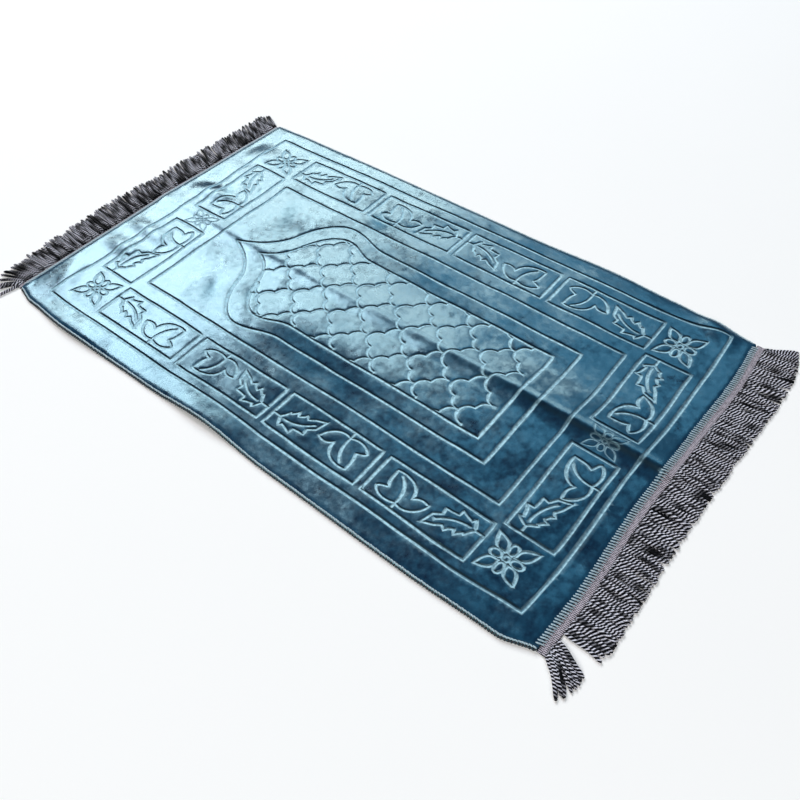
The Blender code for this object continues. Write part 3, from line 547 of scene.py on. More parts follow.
def flower(joint, along, side):
    """Three-lobed flower with one curved vein, on a short stalk."""
    start = np.zeros(2)
    pieces = []
    for first, second, end in FLOWER_EDGE:
        first, second, end = (np.array(point) * MM for point in (first, second, end))
        pieces.append(curve(start, first, second, end, 12))
        start = end
    vein = curve((0, 0), *[np.array(point) * MM for point in FLOWER_VEIN], 10)
    stalk = np.array([(-FLOWER_STALK, 0), (0, 0)])
    return [placed(line, joint, along, side) for line in (joined(*pieces), joined(stalk, vein))]


def round_line(sides):
    turn = np.radians(np.linspace(0, 360, sides + 1))
    return np.stack([np.cos(turn), np.sin(turn)], axis=1)


def rosette(middle, size):
    """Four pointed leaves on the diagonals, four oval petals between them and a round eye."""
    strokes = []
    slim, full = ROSETTE_LEAF_BULGE
    for tip in np.array(((1, 1), (-1, 1), (-1, -1), (1, -1))):
        for bulge in ((slim, full), (full, slim)):
            strokes.append(curve(ROSETTE_LEAF_ROOT * tip, 0.8 * tip * bulge, 1.12 * tip * bulge,
                                 tip, 10))
    from_middle, half_length, half_width = ROSETTE_PETAL
    petal = round_line(14) * (half_length, half_width) + (from_middle, 0)
    for x, y in ((1, 0), (0, 1), (-1, 0), (0, -1)):
        strokes.append(placed(petal, (0, 0), (x, y), (-y, x)))
    strokes.append(ROSETTE_EYE * round_line(10))
    return [middle + stroke * size / 2 for stroke in strokes]


def side_panel_motifs():
    """The near column's motifs. Each panel holds a leaf and a flower, rotated from row to row."""
    outer, inner = (PATTERN_MID - half for half in SIDE_PANEL_HALVES)
    right, left, up, down = (1, 0), (-1, 0), (0, 1), (0, -1)
    first, second, third, fourth = SIDE_PANELS
    near_leaf, far_leaf = outer + LEAF_INSET, inner - LEAF_INSET
    near_flower, far_flower = outer + FLOWER_STALK, inner - FLOWER_STALK
    strokes = leaf((near_leaf, first[0] + LEAF_STALK), up, left)
    strokes += flower((near_flower, first[0] + FLOWER_ALONG), right, up)
    strokes += leaf((far_leaf, second[1] - LEAF_STALK), down, right)
    strokes += flower((far_flower, second[1] - FLOWER_ALONG), left, down)
    strokes += leaf((far_leaf, third[0] + LEAF_STALK), up, right)
    strokes += flower((far_flower, third[0] + FLOWER_ALONG), left, up)
    strokes += leaf((near_leaf, fourth[1] - LEAF_STALK), down, left)
    strokes += flower((near_flower, fourth[1] - FLOWER_ALONG), right, down)
    return strokes


def end_panel_motifs(low, high):
    outer = PATTERN_MID - END_PANEL_HALVES[0]
    strokes = leaf((outer + LEAF_STALK, high - END_LEAF_DROP), (1, 0), (0, -1))
    strokes += flower((outer + END_FLOWER_ALONG, low + FLOWER_STALK), (0, 1), (1, 0))
    return strokes


def line_strokes():
    strokes = [
        frame_line(*OUTER_SIDES, *OUTER_ENDS),
        frame_line(PATTERN_MID - FIELD_HALF, PATTERN_MID + FIELD_HALF, *FIELD_ENDS),
        arch(*OUTER_ARCH),
        arch(*INNER_ARCH),
    ]
    panels = [frame_line(*[PATTERN_MID - half for half in SIDE_PANEL_HALVES], *ends)
              for ends in SIDE_PANELS]
    panels += [frame_line(*[PATTERN_MID - half for half in END_PANEL_HALVES], *ends)
               for ends in END_PANELS]
    return strokes + panels + [mirrored(panel) for panel in panels]


def motif_strokes():
    near = side_panel_motifs()
    for ends in END_PANELS:
        near += end_panel_motifs(*ends)
    strokes = near + [mirrored(stroke) for stroke in near]
    for y in ROSETTE_MIDDLES_Y:
        for x in (-ROSETTE_HALF, ROSETTE_HALF):
            strokes += rosette((PATTERN_MID + x, y), np.array(ROSETTE_SIZE))
    return strokes + lattice(arch(*INNER_ARCH))


def faint_strokes():
    """The two rosettes on the fold, where the press hardly took."""
    return [stroke for y in ROSETTE_MIDDLES_Y
            for stroke in rosette((PATTERN_MID, y - MIDDLE_ROSETTE_DROP),
                                  np.array(MIDDLE_ROSETTE_SIZE))]


# ================================================================ the lie of the cloth
def laid(points):
    """Where a point of the true pattern comes to lie once the cloth is pulled about."""
    x, y = points[:, 0], points[:, 1]
    across = np.clip((x - PATTERN_MID) / (OUTER_SIDES[1] - PATTERN_MID), 0, None)
    moved_x = x - FAR_RIGHT_TAPER * across * np.clip(y / CLOTH_LENGTH, 0, 1) ** 3
    moved_y = y
    for at_x, at_y, reach_x, reach_y, shift_x, shift_y in PULLS:
        share = np.exp(-((x - at_x) / reach_x) ** 2 - ((y - at_y) / reach_y) ** 2)
        moved_x = moved_x + shift_x * share
        moved_y = moved_y + shift_y * share
    side = np.clip(x / CLOTH_WIDTH, 0, 1)
    moved_y = moved_y - (smooth_table(NEAR_SIDE_SLIP, y) * (1 - side)
                         + smooth_table(FAR_SIDE_SLIP, y) * side)
    wander_x, wander_y = PATTERN_WANDER
    moved_x = moved_x + wander_x * np.sin(y * 23 + 1.3) * np.cos(x * 9)
    moved_y = moved_y + wander_y * np.sin(x * 27 + 0.6) * np.cos(y * 5)
    bend, aside = LINE_WOBBLE
    moved_x = moved_x + aside * clouds(x, y, bend, 21)
    moved_y = moved_y + aside * clouds(x, y, bend, 22)
    return np.stack([moved_x, moved_y], axis=1)


def ridge_x(y):
    return smooth_table(RIDGE_PLACE, y)


def hump(distance):
    """Squared cosine: one at distance 0 and nothing from distance 1, flat at both."""
    return np.cos(np.clip(distance, 0, 1) * math.pi / 2) ** 2


def ridge(x, y):
    """Height of the long fold: a tent with a round crest and eased feet, tallest by the near
    end. With s the share of the way to the foot and c the roundness of the crest, the tent is
    t = 1 - (sqrt(s^2 + c^2) - c) / (sqrt(1 + c^2) - c), and the height goes with t to the power
    of its sag: steep and hanging in on the near side, long and nearly straight on the far one."""
    tall = smooth_table(RIDGE_HEIGHT, y)
    away = x - ridge_x(y)
    share = np.clip(np.abs(away) / np.where(away < 0, RIDGE_NEAR_FOOT, RIDGE_FAR_FOOT), 0, 1)
    crest = RIDGE_CREST
    tent = 1 - (np.hypot(share, crest) - crest) / (math.hypot(1, crest) - crest)
    return tall * np.clip(tent, 0, 1) ** np.where(away < 0, RIDGE_NEAR_SAG, RIDGE_FAR_SAG)


def each_hump(table, x, y):
    """The height at each place of each of a table's humps, ovals with a heading of their own."""
    for at_x, at_y, heading, half_length, half_width, tall in table:
        turn = math.radians(heading)
        along = (x - at_x) * math.cos(turn) + (y - at_y) * math.sin(turn)
        aside = (y - at_y) * math.cos(turn) - (x - at_x) * math.sin(turn)
        yield tall * hump(np.abs(along) / half_length) * hump(np.abs(aside) / half_width)


def humps(table, x, y):
    """The highest of a table's humps at each place."""
    return np.maximum.reduce(list(each_hump(table, x, y)))


def lift(x, y):
    """Height of the underside above the floor: the ridge and the waves, which die out at the
    taped ends."""
    fade = np.clip(np.minimum(y, CLOTH_LENGTH - y) / WAVE_END_FADE, 0, 1)
    return np.maximum(ridge(x, y), humps(WAVES, x, y) * fade)


def crown(x, y):
    """Soft unevenness of the padding: a product of two wandering sines."""
    return CROWN * np.sin(x * 31 + 2 * np.sin(y * 9)) * np.sin(y * 24 + 1.5 * np.sin(x * 12))


def clouds(x, y, cell, seed):
    """Smooth noise from -1 to 1: random heights on a square grid, eased from cell to cell."""
    chance = np.random.default_rng(seed)
    across, along = x / cell + 4, y / cell + 4
    heights = chance.uniform(-1, 1, (int(along.max()) + 3, int(across.max()) + 3))
    column, row = across.astype(int), along.astype(int)
    tx, ty = across - column, along - row
    tx, ty = (t * t * t * (10 - 15 * t + 6 * t * t) for t in (tx, ty))
    low = heights[row, column] * (1 - tx) + heights[row, column + 1] * tx
    high = heights[row + 1, column] * (1 - tx) + heights[row + 1, column + 1] * tx
    return low * (1 - ty) + high * ty


def hollows(x, y):
    """Hollows of handled padding: noise of three sizes, one on another, rotated against each
    other so that their grids don't line up."""
    height = np.zeros(np.shape(x))
    for number, (cell, tall) in enumerate(HOLLOWS):
        turn = 0.5 + number
        across = x * math.cos(turn) - y * math.sin(turn) + 2
        along = x * math.sin(turn) + y * math.cos(turn) + 2
        height = height + tall * clouds(across, along, cell, 31 + number)
    return height


def off_strokes(points, strokes, reach=0.006):
    """Distance from each point to the nearest of the strokes, out to the reach, and the way that
    the point lies from it."""
    nearest = np.full(len(points), 1.0)
    away = np.zeros((len(points), 2))
    order = np.argsort(points[:, 1])
    heights = points[order, 1]
    for line in strokes:
        low, high = line.min(axis=0) - reach, line.max(axis=0) + reach
        band = order[np.searchsorted(heights, low[1]):np.searchsorted(heights, high[1])]
        band = band[(points[band, 0] > low[0]) & (points[band, 0] < high[0])]
        for start, way in zip(line[:-1], np.diff(line, axis=0)):
            end = start + way
            box_low, box_high = np.minimum(start, end) - reach, np.maximum(start, end) + reach
            near = band[((points[band] > box_low) & (points[band] < box_high)).all(axis=1)]
            offset = points[near] - start
            share = np.clip(offset @ way / max(way @ way, 1e-12), 0, 1)
            offset = offset - share[:, None] * way
            gap = np.linalg.norm(offset, axis=1)
            closer = gap < nearest[near]
            nearest[near[closer]] = gap[closer]
            away[near[closer]] = offset[closer]
    return nearest, away / np.maximum(np.linalg.norm(away, axis=1), 1e-9)[:, None]


def swell(gap, tall, reach):
    """Padding that swells away from a line: 1 - (1 - gap / reach)^2 of its full height."""
    return tall * (1 - (1 - np.clip(gap / reach, 0, 1)) ** 2)


def eased(place, start, end):
    """0 up to the start, 1 from the end on, and 3t^2 - 2t^3 between them."""
    share = np.clip((place - start) / (end - start), 0, 1)
    return share * share * (3 - 2 * share)


def edge_gap(x, y):
    """Distance from the laid cloth's outline, square to the nearest of its four sides."""
    return np.minimum.reduce([
        x + smooth_table(NEAR_LONG_EDGE, y), CLOTH_WIDTH + smooth_table(FAR_LONG_EDGE, y) - x,
        y + smooth_table(NEAR_SHORT_EDGE, x), CLOTH_LENGTH + smooth_table(FAR_SHORT_EDGE, x) - y])


# ================================================================ the outline
def outline_points(step):
    """The laid cloth's outline in plan, anticlockwise from the near left corner: four bellied
    edges joined by round corners."""
    cut = CORNER_ROUND
    across = np.linspace(cut, CLOTH_WIDTH - cut, round(CLOTH_WIDTH / step))
    along = np.linspace(cut, CLOTH_LENGTH - cut, round(CLOTH_LENGTH / step))
    sides = [
        np.stack([across, -smooth_table(NEAR_SHORT_EDGE, across)], axis=1),
        np.stack([CLOTH_WIDTH + smooth_table(FAR_LONG_EDGE, along), along], axis=1),
        np.stack([across, CLOTH_LENGTH + smooth_table(FAR_SHORT_EDGE, across)], axis=1)[::-1],
        np.stack([-smooth_table(NEAR_LONG_EDGE, along), along], axis=1)[::-1],
    ]
    corners = ((CLOTH_WIDTH, 0), (CLOTH_WIDTH, CLOTH_LENGTH), (0, CLOTH_LENGTH), (0, 0))
    pieces = []
    for side, following, corner in zip(sides, sides[1:] + sides[:1], corners):
        pull = (side[-1] + following[0] + 2 * np.array(corner)) / 4
        pieces += [side, curve(side[-1], pull, pull, following[0], 5)[1:-1]]
    return np.vstack(pieces)


OUTLINE_STEP = 0.004
PLAN_LOW = outline_points(OUTLINE_STEP).min(axis=0)
CLOTH_LOW = np.array(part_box("rug_cloth")[0])


def on_floor(points):
    """Plan coordinates moved to the row frame: the outline's lowest x and y fall on the lowest
    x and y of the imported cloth."""
    return points + (CLOTH_LOW[0] - PLAN_LOW[0], CLOTH_LOW[1] - PLAN_LOW[1], 0)


# ================================================================ meshes
def make_piece(name, verts, faces, material, nodes=()):
    """A shown piece from points in plan coordinates and faces, riding on the rug."""
    mesh = bpy.data.meshes.new(name)
    mesh.from_pydata(on_floor(verts).tolist(), [], faces)
    mesh.materials.append(material)
    mesh.shade_smooth()
    piece = bpy.data.objects.new(name, mesh)
    bpy.context.scene.collection.objects.link(piece)
    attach(piece, "root")
    if nodes:
        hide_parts(*nodes)
    return piece


def give_attribute(piece, name, values):
    attribute = piece.data.attributes.new(name, "FLOAT", "POINT")
    attribute.data.foreach_set("value", np.asarray(values, np.float32))


def give_uv(piece, u, v):
    """A UV map from one u and one v per face corner, in the order of the faces' corners."""
    layer = piece.data.uv_layers.new(name="UVMap")
    layer.data.foreach_set("uv", np.stack([u, v], axis=-1).astype(np.float32).ravel())


def triangulated(ring, lines, points):
    """Triangles that fill a closed ring and keep every line. The ring's points come first."""
    counts = [len(ring)] + [len(line) for line in lines]
    starts = np.cumsum([0] + counts)
    verts = np.vstack([ring, *lines, points])
    edges = [(index, (index + 1) % len(ring)) for index in range(len(ring))]
    for first, count in zip(starts[1:], counts[1:]):
        edges += [(index, index + 1) for index in range(first, first + count - 1)]
    weld = 2e-5
    out, _, faces, origins, _, _ = delaunay_2d_cdt(verts.tolist(), edges, [], 0, weld, True)
    place = np.zeros(len(verts), int)
    sources = np.array([source for group in origins for source in group])
    place[sources] = np.repeat(np.arange(len(origins)), [len(group) for group in origins])
    order = place[:len(ring)]
    rest = np.setdiff1d(np.arange(len(out)), order)
    new_index = np.zeros(len(out), int)
    new_index[np.concatenate([order, rest])] = np.arange(len(out))
    plan = np.array([tuple(point) for point in out])[np.concatenate([order, rest])]
    tris = new_index[np.array(faces)]
    on_ring = np.nonzero((tris < len(ring)).all(axis=1))[0]
    outside = on_ring[~inside(plan[tris[on_ring]].mean(axis=1), closed(ring))]
    return plan, np.delete(tris, outside, axis=0)


def grid_points(step):
    """Points of an even grid over the cloth, each second row shifted by half a step."""
    overhang = 0.03
    across = np.arange(-overhang, CLOTH_WIDTH + overhang, step)
    along = np.arange(0.0, CLOTH_LENGTH, step * 0.87)
    x, y = np.meshgrid(across, along)
    x = x + (np.arange(len(along)) % 2)[:, None] * step / 2
    return np.stack([x.ravel(), y.ravel()], axis=1)


def tubes(paths, radii, sides, flat=1.0):
    """Closed tubes along many paths at once.

    paths is (tubes, stations, 3) and radii (tubes, stations). A ring of points stands square to
    each path at each station: the path's direction crossed with up gives the ring's side, and
    side crossed with direction its top, which flat squeezes. The ends are closed by a point.
    Returns the points, the four-sided faces and the three-sided end caps.
    """
    count, stations, _ = paths.shape
    ahead = np.gradient(paths, axis=1)
    ahead /= np.linalg.norm(ahead, axis=2)[..., None]
    side = np.cross(ahead, (0, 0, 1.0))
    side /= np.maximum(np.linalg.norm(side, axis=2), 1e-6)[..., None]
    top = np.cross(side, ahead)
    turn = np.arange(sides) / sides * 2 * math.pi
    ring = (np.cos(turn)[None, None, :, None] * side[:, :, None]
            + np.sin(turn)[None, None, :, None] * top[:, :, None] * flat)
    body = paths[:, :, None] + radii[:, :, None, None] * ring
    per_tube = stations * sides
    verts = np.concatenate([body.reshape(-1, 3), paths[:, 0], paths[:, -1]])
    tube, station, corner = np.meshgrid(np.arange(count), np.arange(stations - 1),
                                        np.arange(sides), indexing="ij")
    here = tube * per_tube + station * sides
    following = (corner + 1) % sides
    quads = np.stack([here + corner, here + sides + corner, here + sides + following,
                      here + following], axis=-1).reshape(-1, 4)
    tube, corner = np.meshgrid(np.arange(count), np.arange(sides), indexing="ij")
    following = (corner + 1) % sides
    first_point, last_point = count * per_tube + tube, count * (per_tube + 1) + tube
    last_ring = tube * per_tube + (stations - 1) * sides
    start_caps = np.stack([tube * per_tube + corner, tube * per_tube + following, first_point],
                          axis=-1).reshape(-1, 3)
    end_caps = np.stack([last_ring + following, last_ring + corner, last_point],
                        axis=-1).reshape(-1, 3)
    return verts, quads, np.vstack([start_caps, end_caps])


def tube_piece(name, paths, radii, sides, material, nodes=(), flat=1.0, start=0.0,
               rate=1.0):
    """One mesh of many tubes, with a UV map of share round and metres along. Each tube's
    metres begin at its own start and run at its own rate."""
    verts, quads, caps = tubes(paths, radii, sides, flat)
    piece = make_piece(name, verts, quads.tolist() + caps.tolist(), material, nodes)
    count, stations, _ = paths.shape
    steps = np.linalg.norm(np.diff(paths, axis=1), axis=2)
    along = np.concatenate([np.zeros((count, 1)), np.cumsum(steps, axis=1)], axis=1)
    along = along * np.reshape(rate, (-1, 1)) + np.reshape(start, (-1, 1))
    corner = np.arange(sides)
    u = np.broadcast_to(np.stack([corner, corner, corner + 1, corner + 1], axis=-1) / sides,
                        (count, stations - 1, sides, 4))
    v = np.broadcast_to(np.stack([along[:, :-1], along[:, 1:], along[:, 1:], along[:, :-1]],
                                 axis=-1)[:, :, None], (count, stations - 1, sides, 4))
    cap_count = len(caps) * 3
    give_uv(piece, np.concatenate([u.ravel(), np.zeros(cap_count)]),
            np.concatenate([v.ravel(), np.zeros(cap_count)]))
    return piece


# ================================================================ materials
def linear(colour):
    """sRGB to linear: c / 12.92 below 0.04045, else ((c + 0.055) / 1.055) ^ 2.4."""
    colour = np.array(colour[:3])
    return (*np.where(colour < 0.04045, colour / 12.92, ((colour + 0.055) / 1.055) ** 2.4), 1.0)


def feed(material, node, inputs):
    """Gives each named or numbered socket of a node the socket that feeds it, or its fixed
    value."""
    for name, source in inputs.items():
        if isinstance(source, bpy.types.NodeSocket):
            material.node_tree.links.new(source, node.inputs[name])
        else:
            node.inputs[name].default_value = source


def add_node(material, kind, inputs, **options):
    """Adds a node with its options set and its sockets fed."""
    node = material.node_tree.nodes.new(kind)
    for name, value in options.items():
        setattr(node, name, value)
    feed(material, node, inputs)
    return node


def blend(material, share, start, end):
    """Colour that goes from start to end with a share. Each is a socket or a fixed colour."""
    start_socket, end_socket, result = 6, 7, 2      # those of the Mix node that hold colours
    inputs = {"Factor": share, start_socket: start, end_socket: end}
    return add_node(material, "ShaderNodeMix", inputs, data_type="RGBA").outputs[result]


def number(material, operation, first, second):
    """Result of a sum on two numbers. Each is a socket or a fixed value."""
    return add_node(material, "ShaderNodeMath", {0: first, 1: second},
                    operation=operation).outputs[0]


def vector(material, operation, first, second=(0, 0, 0)):
    """Result of a sum on two vectors, or of a vector scaled by a number."""
    name = "Scale" if operation == "SCALE" else 1
    return add_node(material, "ShaderNodeVectorMath", {0: first, name: second},
                    operation=operation).outputs[0]


def ramp(material, value, start, end, low=0.0, high=1.0, way="LINEAR"):
    """A value that goes from low to high while another goes from start to end."""
    inputs = {"Value": value, "From Min": start, "From Max": end, "To Min": low, "To Max": high}
    return add_node(material, "ShaderNodeMapRange", inputs, interpolation_type=way).outputs[0]


def noise(material, place, scale, detail=2.0, roughness=0.5, distortion=0.0):
    inputs = {"Vector": place, "Scale": scale, "Detail": detail, "Roughness": roughness,
              "Distortion": distortion}
    return add_node(material, "ShaderNodeTexNoise", inputs).outputs


def bump(material, height, strength, distance):
    inputs = {"Height": height, "Strength": strength, "Distance": distance}
    return add_node(material, "ShaderNodeBump", inputs).outputs[0]


def attribute(material, name):
    return add_node(material, "ShaderNodeAttribute", {}, attribute_name=name).outputs["Fac"]


def own_place(material):
    """Place on the object, in metres."""
    return add_node(material, "ShaderNodeTexCoord", {}).outputs["Object"]


def split(material, source):
    """The X and the Y of a vector."""
    return add_node(material, "ShaderNodeSeparateXYZ", {"Vector": source}).outputs[:2]


def new_material(name, inputs):
    """A material, and its Principled shader with these sockets set."""
    material = bpy.data.materials.new(name)
    material.use_nodes = True
    shader = material.node_tree.nodes["Principled BSDF"]
    feed(material, shader, inputs)
    return material, shader


def dimmed(colour, share):
    """A share of an sRGB colour, made linear."""
    return linear([share * part for part in colour])


def velvet_material(colours):
    """Polyester velvet, heat pressed.

    Short upright pile is dark and soft seen from above, and gives a pale, slightly blue gloss
    where it leans to the light. The attribute "lay" tilts that gloss from place to place, and
    clouds and tufts of noise stray from it, more by the near end. The press melts the pile flat
    in the lines, which are pale: partly the melted pile's own tone and partly a painted
    highlight. The fold's crest is painted pale as a highlight. Where a hand has wiped it the
    pile is a lighter teal. Shade is painted nearly black beside a line on its shaded side, on
    the fold's near side by the near end and along the near long edge. Pile grain is drawn at
    about 1.5 mm, coarser than real, so that it shows in the render.
    """
    material, shader = new_material("polyester_velvet_pressed", {
        "IOR": 1.5, "Specular IOR Level": 1.0, "Specular Tint": (0.45, 0.85, 1.0, 1.0),
        "Sheen Weight": 0.12, "Sheen Roughness": 0.45, "Sheen Tint": (0.35, 0.75, 1.0, 1.0)})
    place = own_place(material)
    _, along = split(material, place)
    cloud = noise(material, place, 15.0, 4.0, 0.6, 0.4)
    tousled = noise(material, place, 90.0, 2.0, 0.6)
    grain = noise(material, place, 700.0, 2.0, 0.6)
    broken = noise(material, place, 210.0, 3.0)
    pressed = attribute(material, "pressed")

    mottled = number(material, "ADD", cloud["Fac"], tousled["Fac"])
    lean = ramp(material, mottled, 0.65, 1.40)
    pile = blend(material, lean, linear(colours.velvet), linear(colours.velvet_light))
    wiped = blend(material, attribute(material, "smudged"), pile, linear(colours.velvet_wiped))
    patchy = ramp(material, broken["Fac"], 0.35, 0.60, 0.50, 1.0)
    melted = number(material, "MULTIPLY", pressed, patchy)
    # The lines' pale is partly a painted highlight, and the fold's crest is a painted highlight.
    lit = blend(material, melted, wiped, linear(colours.pressed))
    # Painted shade: the base colour goes nearly black where the painted shade attribute is set.
    tone = blend(material, attribute(material, "turned"), lit, linear(colours.velvet_painted_shade))

    gloss = ramp(material, lean, 0.0, 1.0, 0.27, 0.35)
    dull = ramp(material, pressed, 0.0, 1.0, 0.0, 0.50)
    combed = ramp(material, along, -0.05, 0.30, 0.0, -0.08, "SMOOTHSTEP")
    rough = number(material, "ADD", number(material, "ADD", gloss, dull), combed)

    tilt = vector(material, "SCALE", LAY_WAY, attribute(material, "lay"))
    calmer = ramp(material, along, -0.5, 0.45, *STRAY_BY_END)
    for field, most in ((cloud, CLOUD_LAY), (tousled, TUFT_LAY)):
        stray = vector(material, "SUBTRACT", field["Color"], (0.5, 0.5, 0.5))
        stray = vector(material, "MULTIPLY", stray, (most, most, 0.0))
        tilt = vector(material, "ADD", tilt, vector(material, "SCALE", stray, calmer))
    tuft = bump(material, grain["Fac"], 0.25, 0.0005)
    normal = vector(material, "NORMALIZE", vector(material, "ADD", tuft, tilt))
    feed(material, shader, {"Base Color": tone, "Roughness": rough, "Normal": normal})
    return material


def thread_material(name, colour):
    """Spun polyester sewing thread: satin, mottled by its fibres."""
    material, shader = new_material(name, {"Roughness": 0.5, "Sheen Weight": 0.15})
    fibre = noise(material, own_place(material), 420.0)["Fac"]
    tone = blend(material, fibre, dimmed(colour, 0.62), linear(colour))
    feed(material, shader, {"Base Color": tone, "Normal": bump(material, fibre, 0.3, 0.0003)})
    return material


def tape_material(colours):
    """Woven rayon braid: lilac grey and matte, with shade painted nearly black in the troughs
    between its ribs and on its sides and underside.
    """
    material, shader = new_material("woven_rayon_braid", {"Roughness": 0.7, "Sheen Weight": 0.15})
    fibre = noise(material, own_place(material), 300.0)["Fac"]
    rib = number(material, "MULTIPLY", attribute(material, "weave"), fibre)
    # Painted shade where the attribute "weave" is low: between the ribs and off the tape's top.
    tone = blend(material, ramp(material, rib, 0.10, 0.40), dimmed(colours.tape, 0.15),
                 linear(colours.tape))
    feed(material, shader, {"Base Color": tone, "Normal": bump(material, fibre, 0.3, 0.0003)})
    return material


def cord_material(colours):
    """Two-ply twisted rayon cord: each ply pale lilac on its crest, with shade painted nearly
    black in its crease, so that slanting stripes run round the cord, and shade painted nearly
    black where the attribute "shade" marks a stretch lying between its neighbours. The stripes
    and their bump come from the UV map: twice the share round, less twice the length over a
    full twist, folded back and forth."""
    material, shader = new_material("twisted_rayon_cord", {
        "Roughness": 0.6, "Sheen Weight": 0.02, "Specular IOR Level": 0.10})
    uv = add_node(material, "ShaderNodeUVMap", {}, uv_map="UVMap").outputs["UV"]
    share_round, metres = split(material, uv)
    phase = number(material, "SUBTRACT", number(material, "MULTIPLY", share_round, 2.0),
                   number(material, "MULTIPLY", metres, 2 / PLY_TWIST))
    ply = number(material, "PINGPONG", phase, 0.5)
    crest = ramp(material, ply, 0.21, 0.42, way="SMOOTHSTEP")
    # Painted shade in the crease between the plies.
    striped = blend(material, crest, linear(colours.yarn_painted_shade), linear(colours.yarn))
    # Painted shade where a stretch of cord lies between its neighbours.
    tone = blend(material, attribute(material, "shade"), striped, linear(colours.yarn_painted_shade))
    feed(material, shader, {"Base Color": tone, "Normal": bump(material, crest, 1.0, 0.0012)})
    return material


def floor_material(colours):
    """Matt painted floor, plain and pale, with the faintest unevenness of a rolled coat."""
    material, shader = new_material("matt_floor_paint", {"Roughness": 0.9})
    coat = noise(material, own_place(material), 3.0, 1.0)["Fac"]
    tone = blend(material, coat, dimmed(colours.floor, 0.995), linear(colours.floor))
    feed(material, shader, {"Base Color": tone})
    return material


# ================================================================ the cloth
RIM_RAILS = (0.0006, 0.0016, 0.0032, 0.0052, 0.0078, 0.0110)    # in from the outline
GROOVE_RAILS = (0.4, 0.8, 1.25)         # to each side of a groove, of its half width
LINE_STEP, MOTIF_STEP, CREST_STEP = 0.009, 0.0032, 0.006        # along them
CREST_ENDS = (0.014, CLOTH_LENGTH - 0.012)
FILL_STEP = 0.0056
FILL_CLEARANCE = (0.0048, RIDGE_RAILS[-1] + 0.002)              # from grooves, from the crest
UNDER_RAILS = (0.0008, 0.008)           # the underside's ring and the edge of its fill
UNDER_CREST_STEP, UNDER_FILL_STEP = 0.020, 0.016
BAND_HEIGHTS = (0.42, 0.15)             # of the rim's thickness
# In half widths of a groove: how far its bottom is flat, how softly its melted pile ends, and
# where the hollow middle of a line by the near end stops and its melted edges are full.
GROOVE_BOTTOM, MELT_SOFT, HOLLOW_MIDDLE = 0.2, 0.3, (0.25, 0.6)
RIM_SHADE = (0.0035, 0.0050)            # painted shade along the near long edge: full up to the first, gone at the second, in from it
HOLLOWS_FROM_EDGE = 0.03
EDGE_ROUND = 0.0022                     # radius of the rim's upper edge
EDGE_LOW = 0.55                         # height where that starts, of the rim's thickness
SWELLING = 1.4                          # power that the swelling past the rim goes with


class Die(NamedTuple):
    """What one kind of groove is pressed with. strength is how far its pile melts, and hollow
    how much less it melts in the middle of a line by the near end."""
    grooves: list
    half_width: float
    depth: float
    strength: float
    hollow: float


def dies(sizes):
    """The frame and arch lines, the motifs, and the rosettes on the fold."""
    lines, motifs, faint = (
        [laid(stepped(stroke, step)) for stroke in strokes]
        for strokes, step in ((line_strokes(), LINE_STEP), (motif_strokes(), MOTIF_STEP),
                              (faint_strokes(), MOTIF_STEP)))
    return (Die(lines, sizes.line_half, sizes.line_depth, 1.0, 0.75),
            Die(motifs, sizes.motif_half, sizes.motif_depth, 1.0, 0.35),
            Die(faint, 0.6 * sizes.motif_half, 0.4 * sizes.motif_depth, 0.35, 0.0))


def rim_height(gap):
    """Thickness of the cloth at a distance from its edge: squeezed by the overlocking to
    RIM_THICK, swelling as a quarter sine to its full thickness at RIM_WIDTH."""
    share = np.sin(np.clip(gap / RIM_WIDTH, 0, 1) * math.pi / 2)
    edge_round = np.sqrt(1 - (1 - np.clip(gap / EDGE_ROUND, 0, 1)) ** 2)
    return (RIM_THICK * (EDGE_LOW + (1 - EDGE_LOW) * edge_round)
            + (CLOTH_THICK - RIM_THICK) * share ** SWELLING)


def top_mesh(outline, pressed_by):
    """Plan and triangles of the top, with edges along every groove's bottom, wall and lip, along
    the fold's crest and along the rim."""
    ring = rail(closed(outline), RIM_RAILS[0])[:-1]
    lines = [rail(closed(outline), distance) for distance in RIM_RAILS[1:]]
    field = lines[-1]
    for die in pressed_by:
        for groove in die.grooves:
            lines.append(groove)
            for share in GROOVE_RAILS:
                away = share * die.half_width
                lines += [rail(groove, away), rail(groove, -away)]
    along = np.arange(*CREST_ENDS, CREST_STEP)
    lines += [np.stack([ridge_x(along) + away, along], axis=1) for away in RIDGE_RAILS]
    fill = grid_points(FILL_STEP)
    fill = fill[inside_in_blocks(fill, field)]
    gap, _ = off_strokes(fill, [groove for die in pressed_by for groove in die.grooves])
    from_crest = np.abs(fill[:, 0] - ridge_x(fill[:, 1]))
    fill = fill[(gap > FILL_CLEARANCE[0]) & (from_crest > FILL_CLEARANCE[1])]
    return triangulated(ring, lines, fill)


def under_mesh(outline):
    """Plan and triangles of the underside, with edges along the fold's crest and sides."""
    ring_rail, fill_rail = UNDER_RAILS
    along = np.arange(UNDER_CREST_STEP, CLOTH_LENGTH - UNDER_CREST_STEP, UNDER_CREST_STEP)
    folds = [np.stack([ridge_x(along) + share * foot, along], axis=1)
             for foot, shares in ((RIDGE_NEAR_FOOT, (-1, -0.75, -0.5, -0.25)),
                                  (RIDGE_FAR_FOOT, (0, 0.25, 0.5, 0.75, 1)))
             for share in shares]
    fill = grid_points(UNDER_FILL_STEP)
    fill = fill[inside_in_blocks(fill, rail(closed(outline), fill_rail))]
    return triangulated(rail(closed(outline), ring_rail)[:-1], folds, fill)


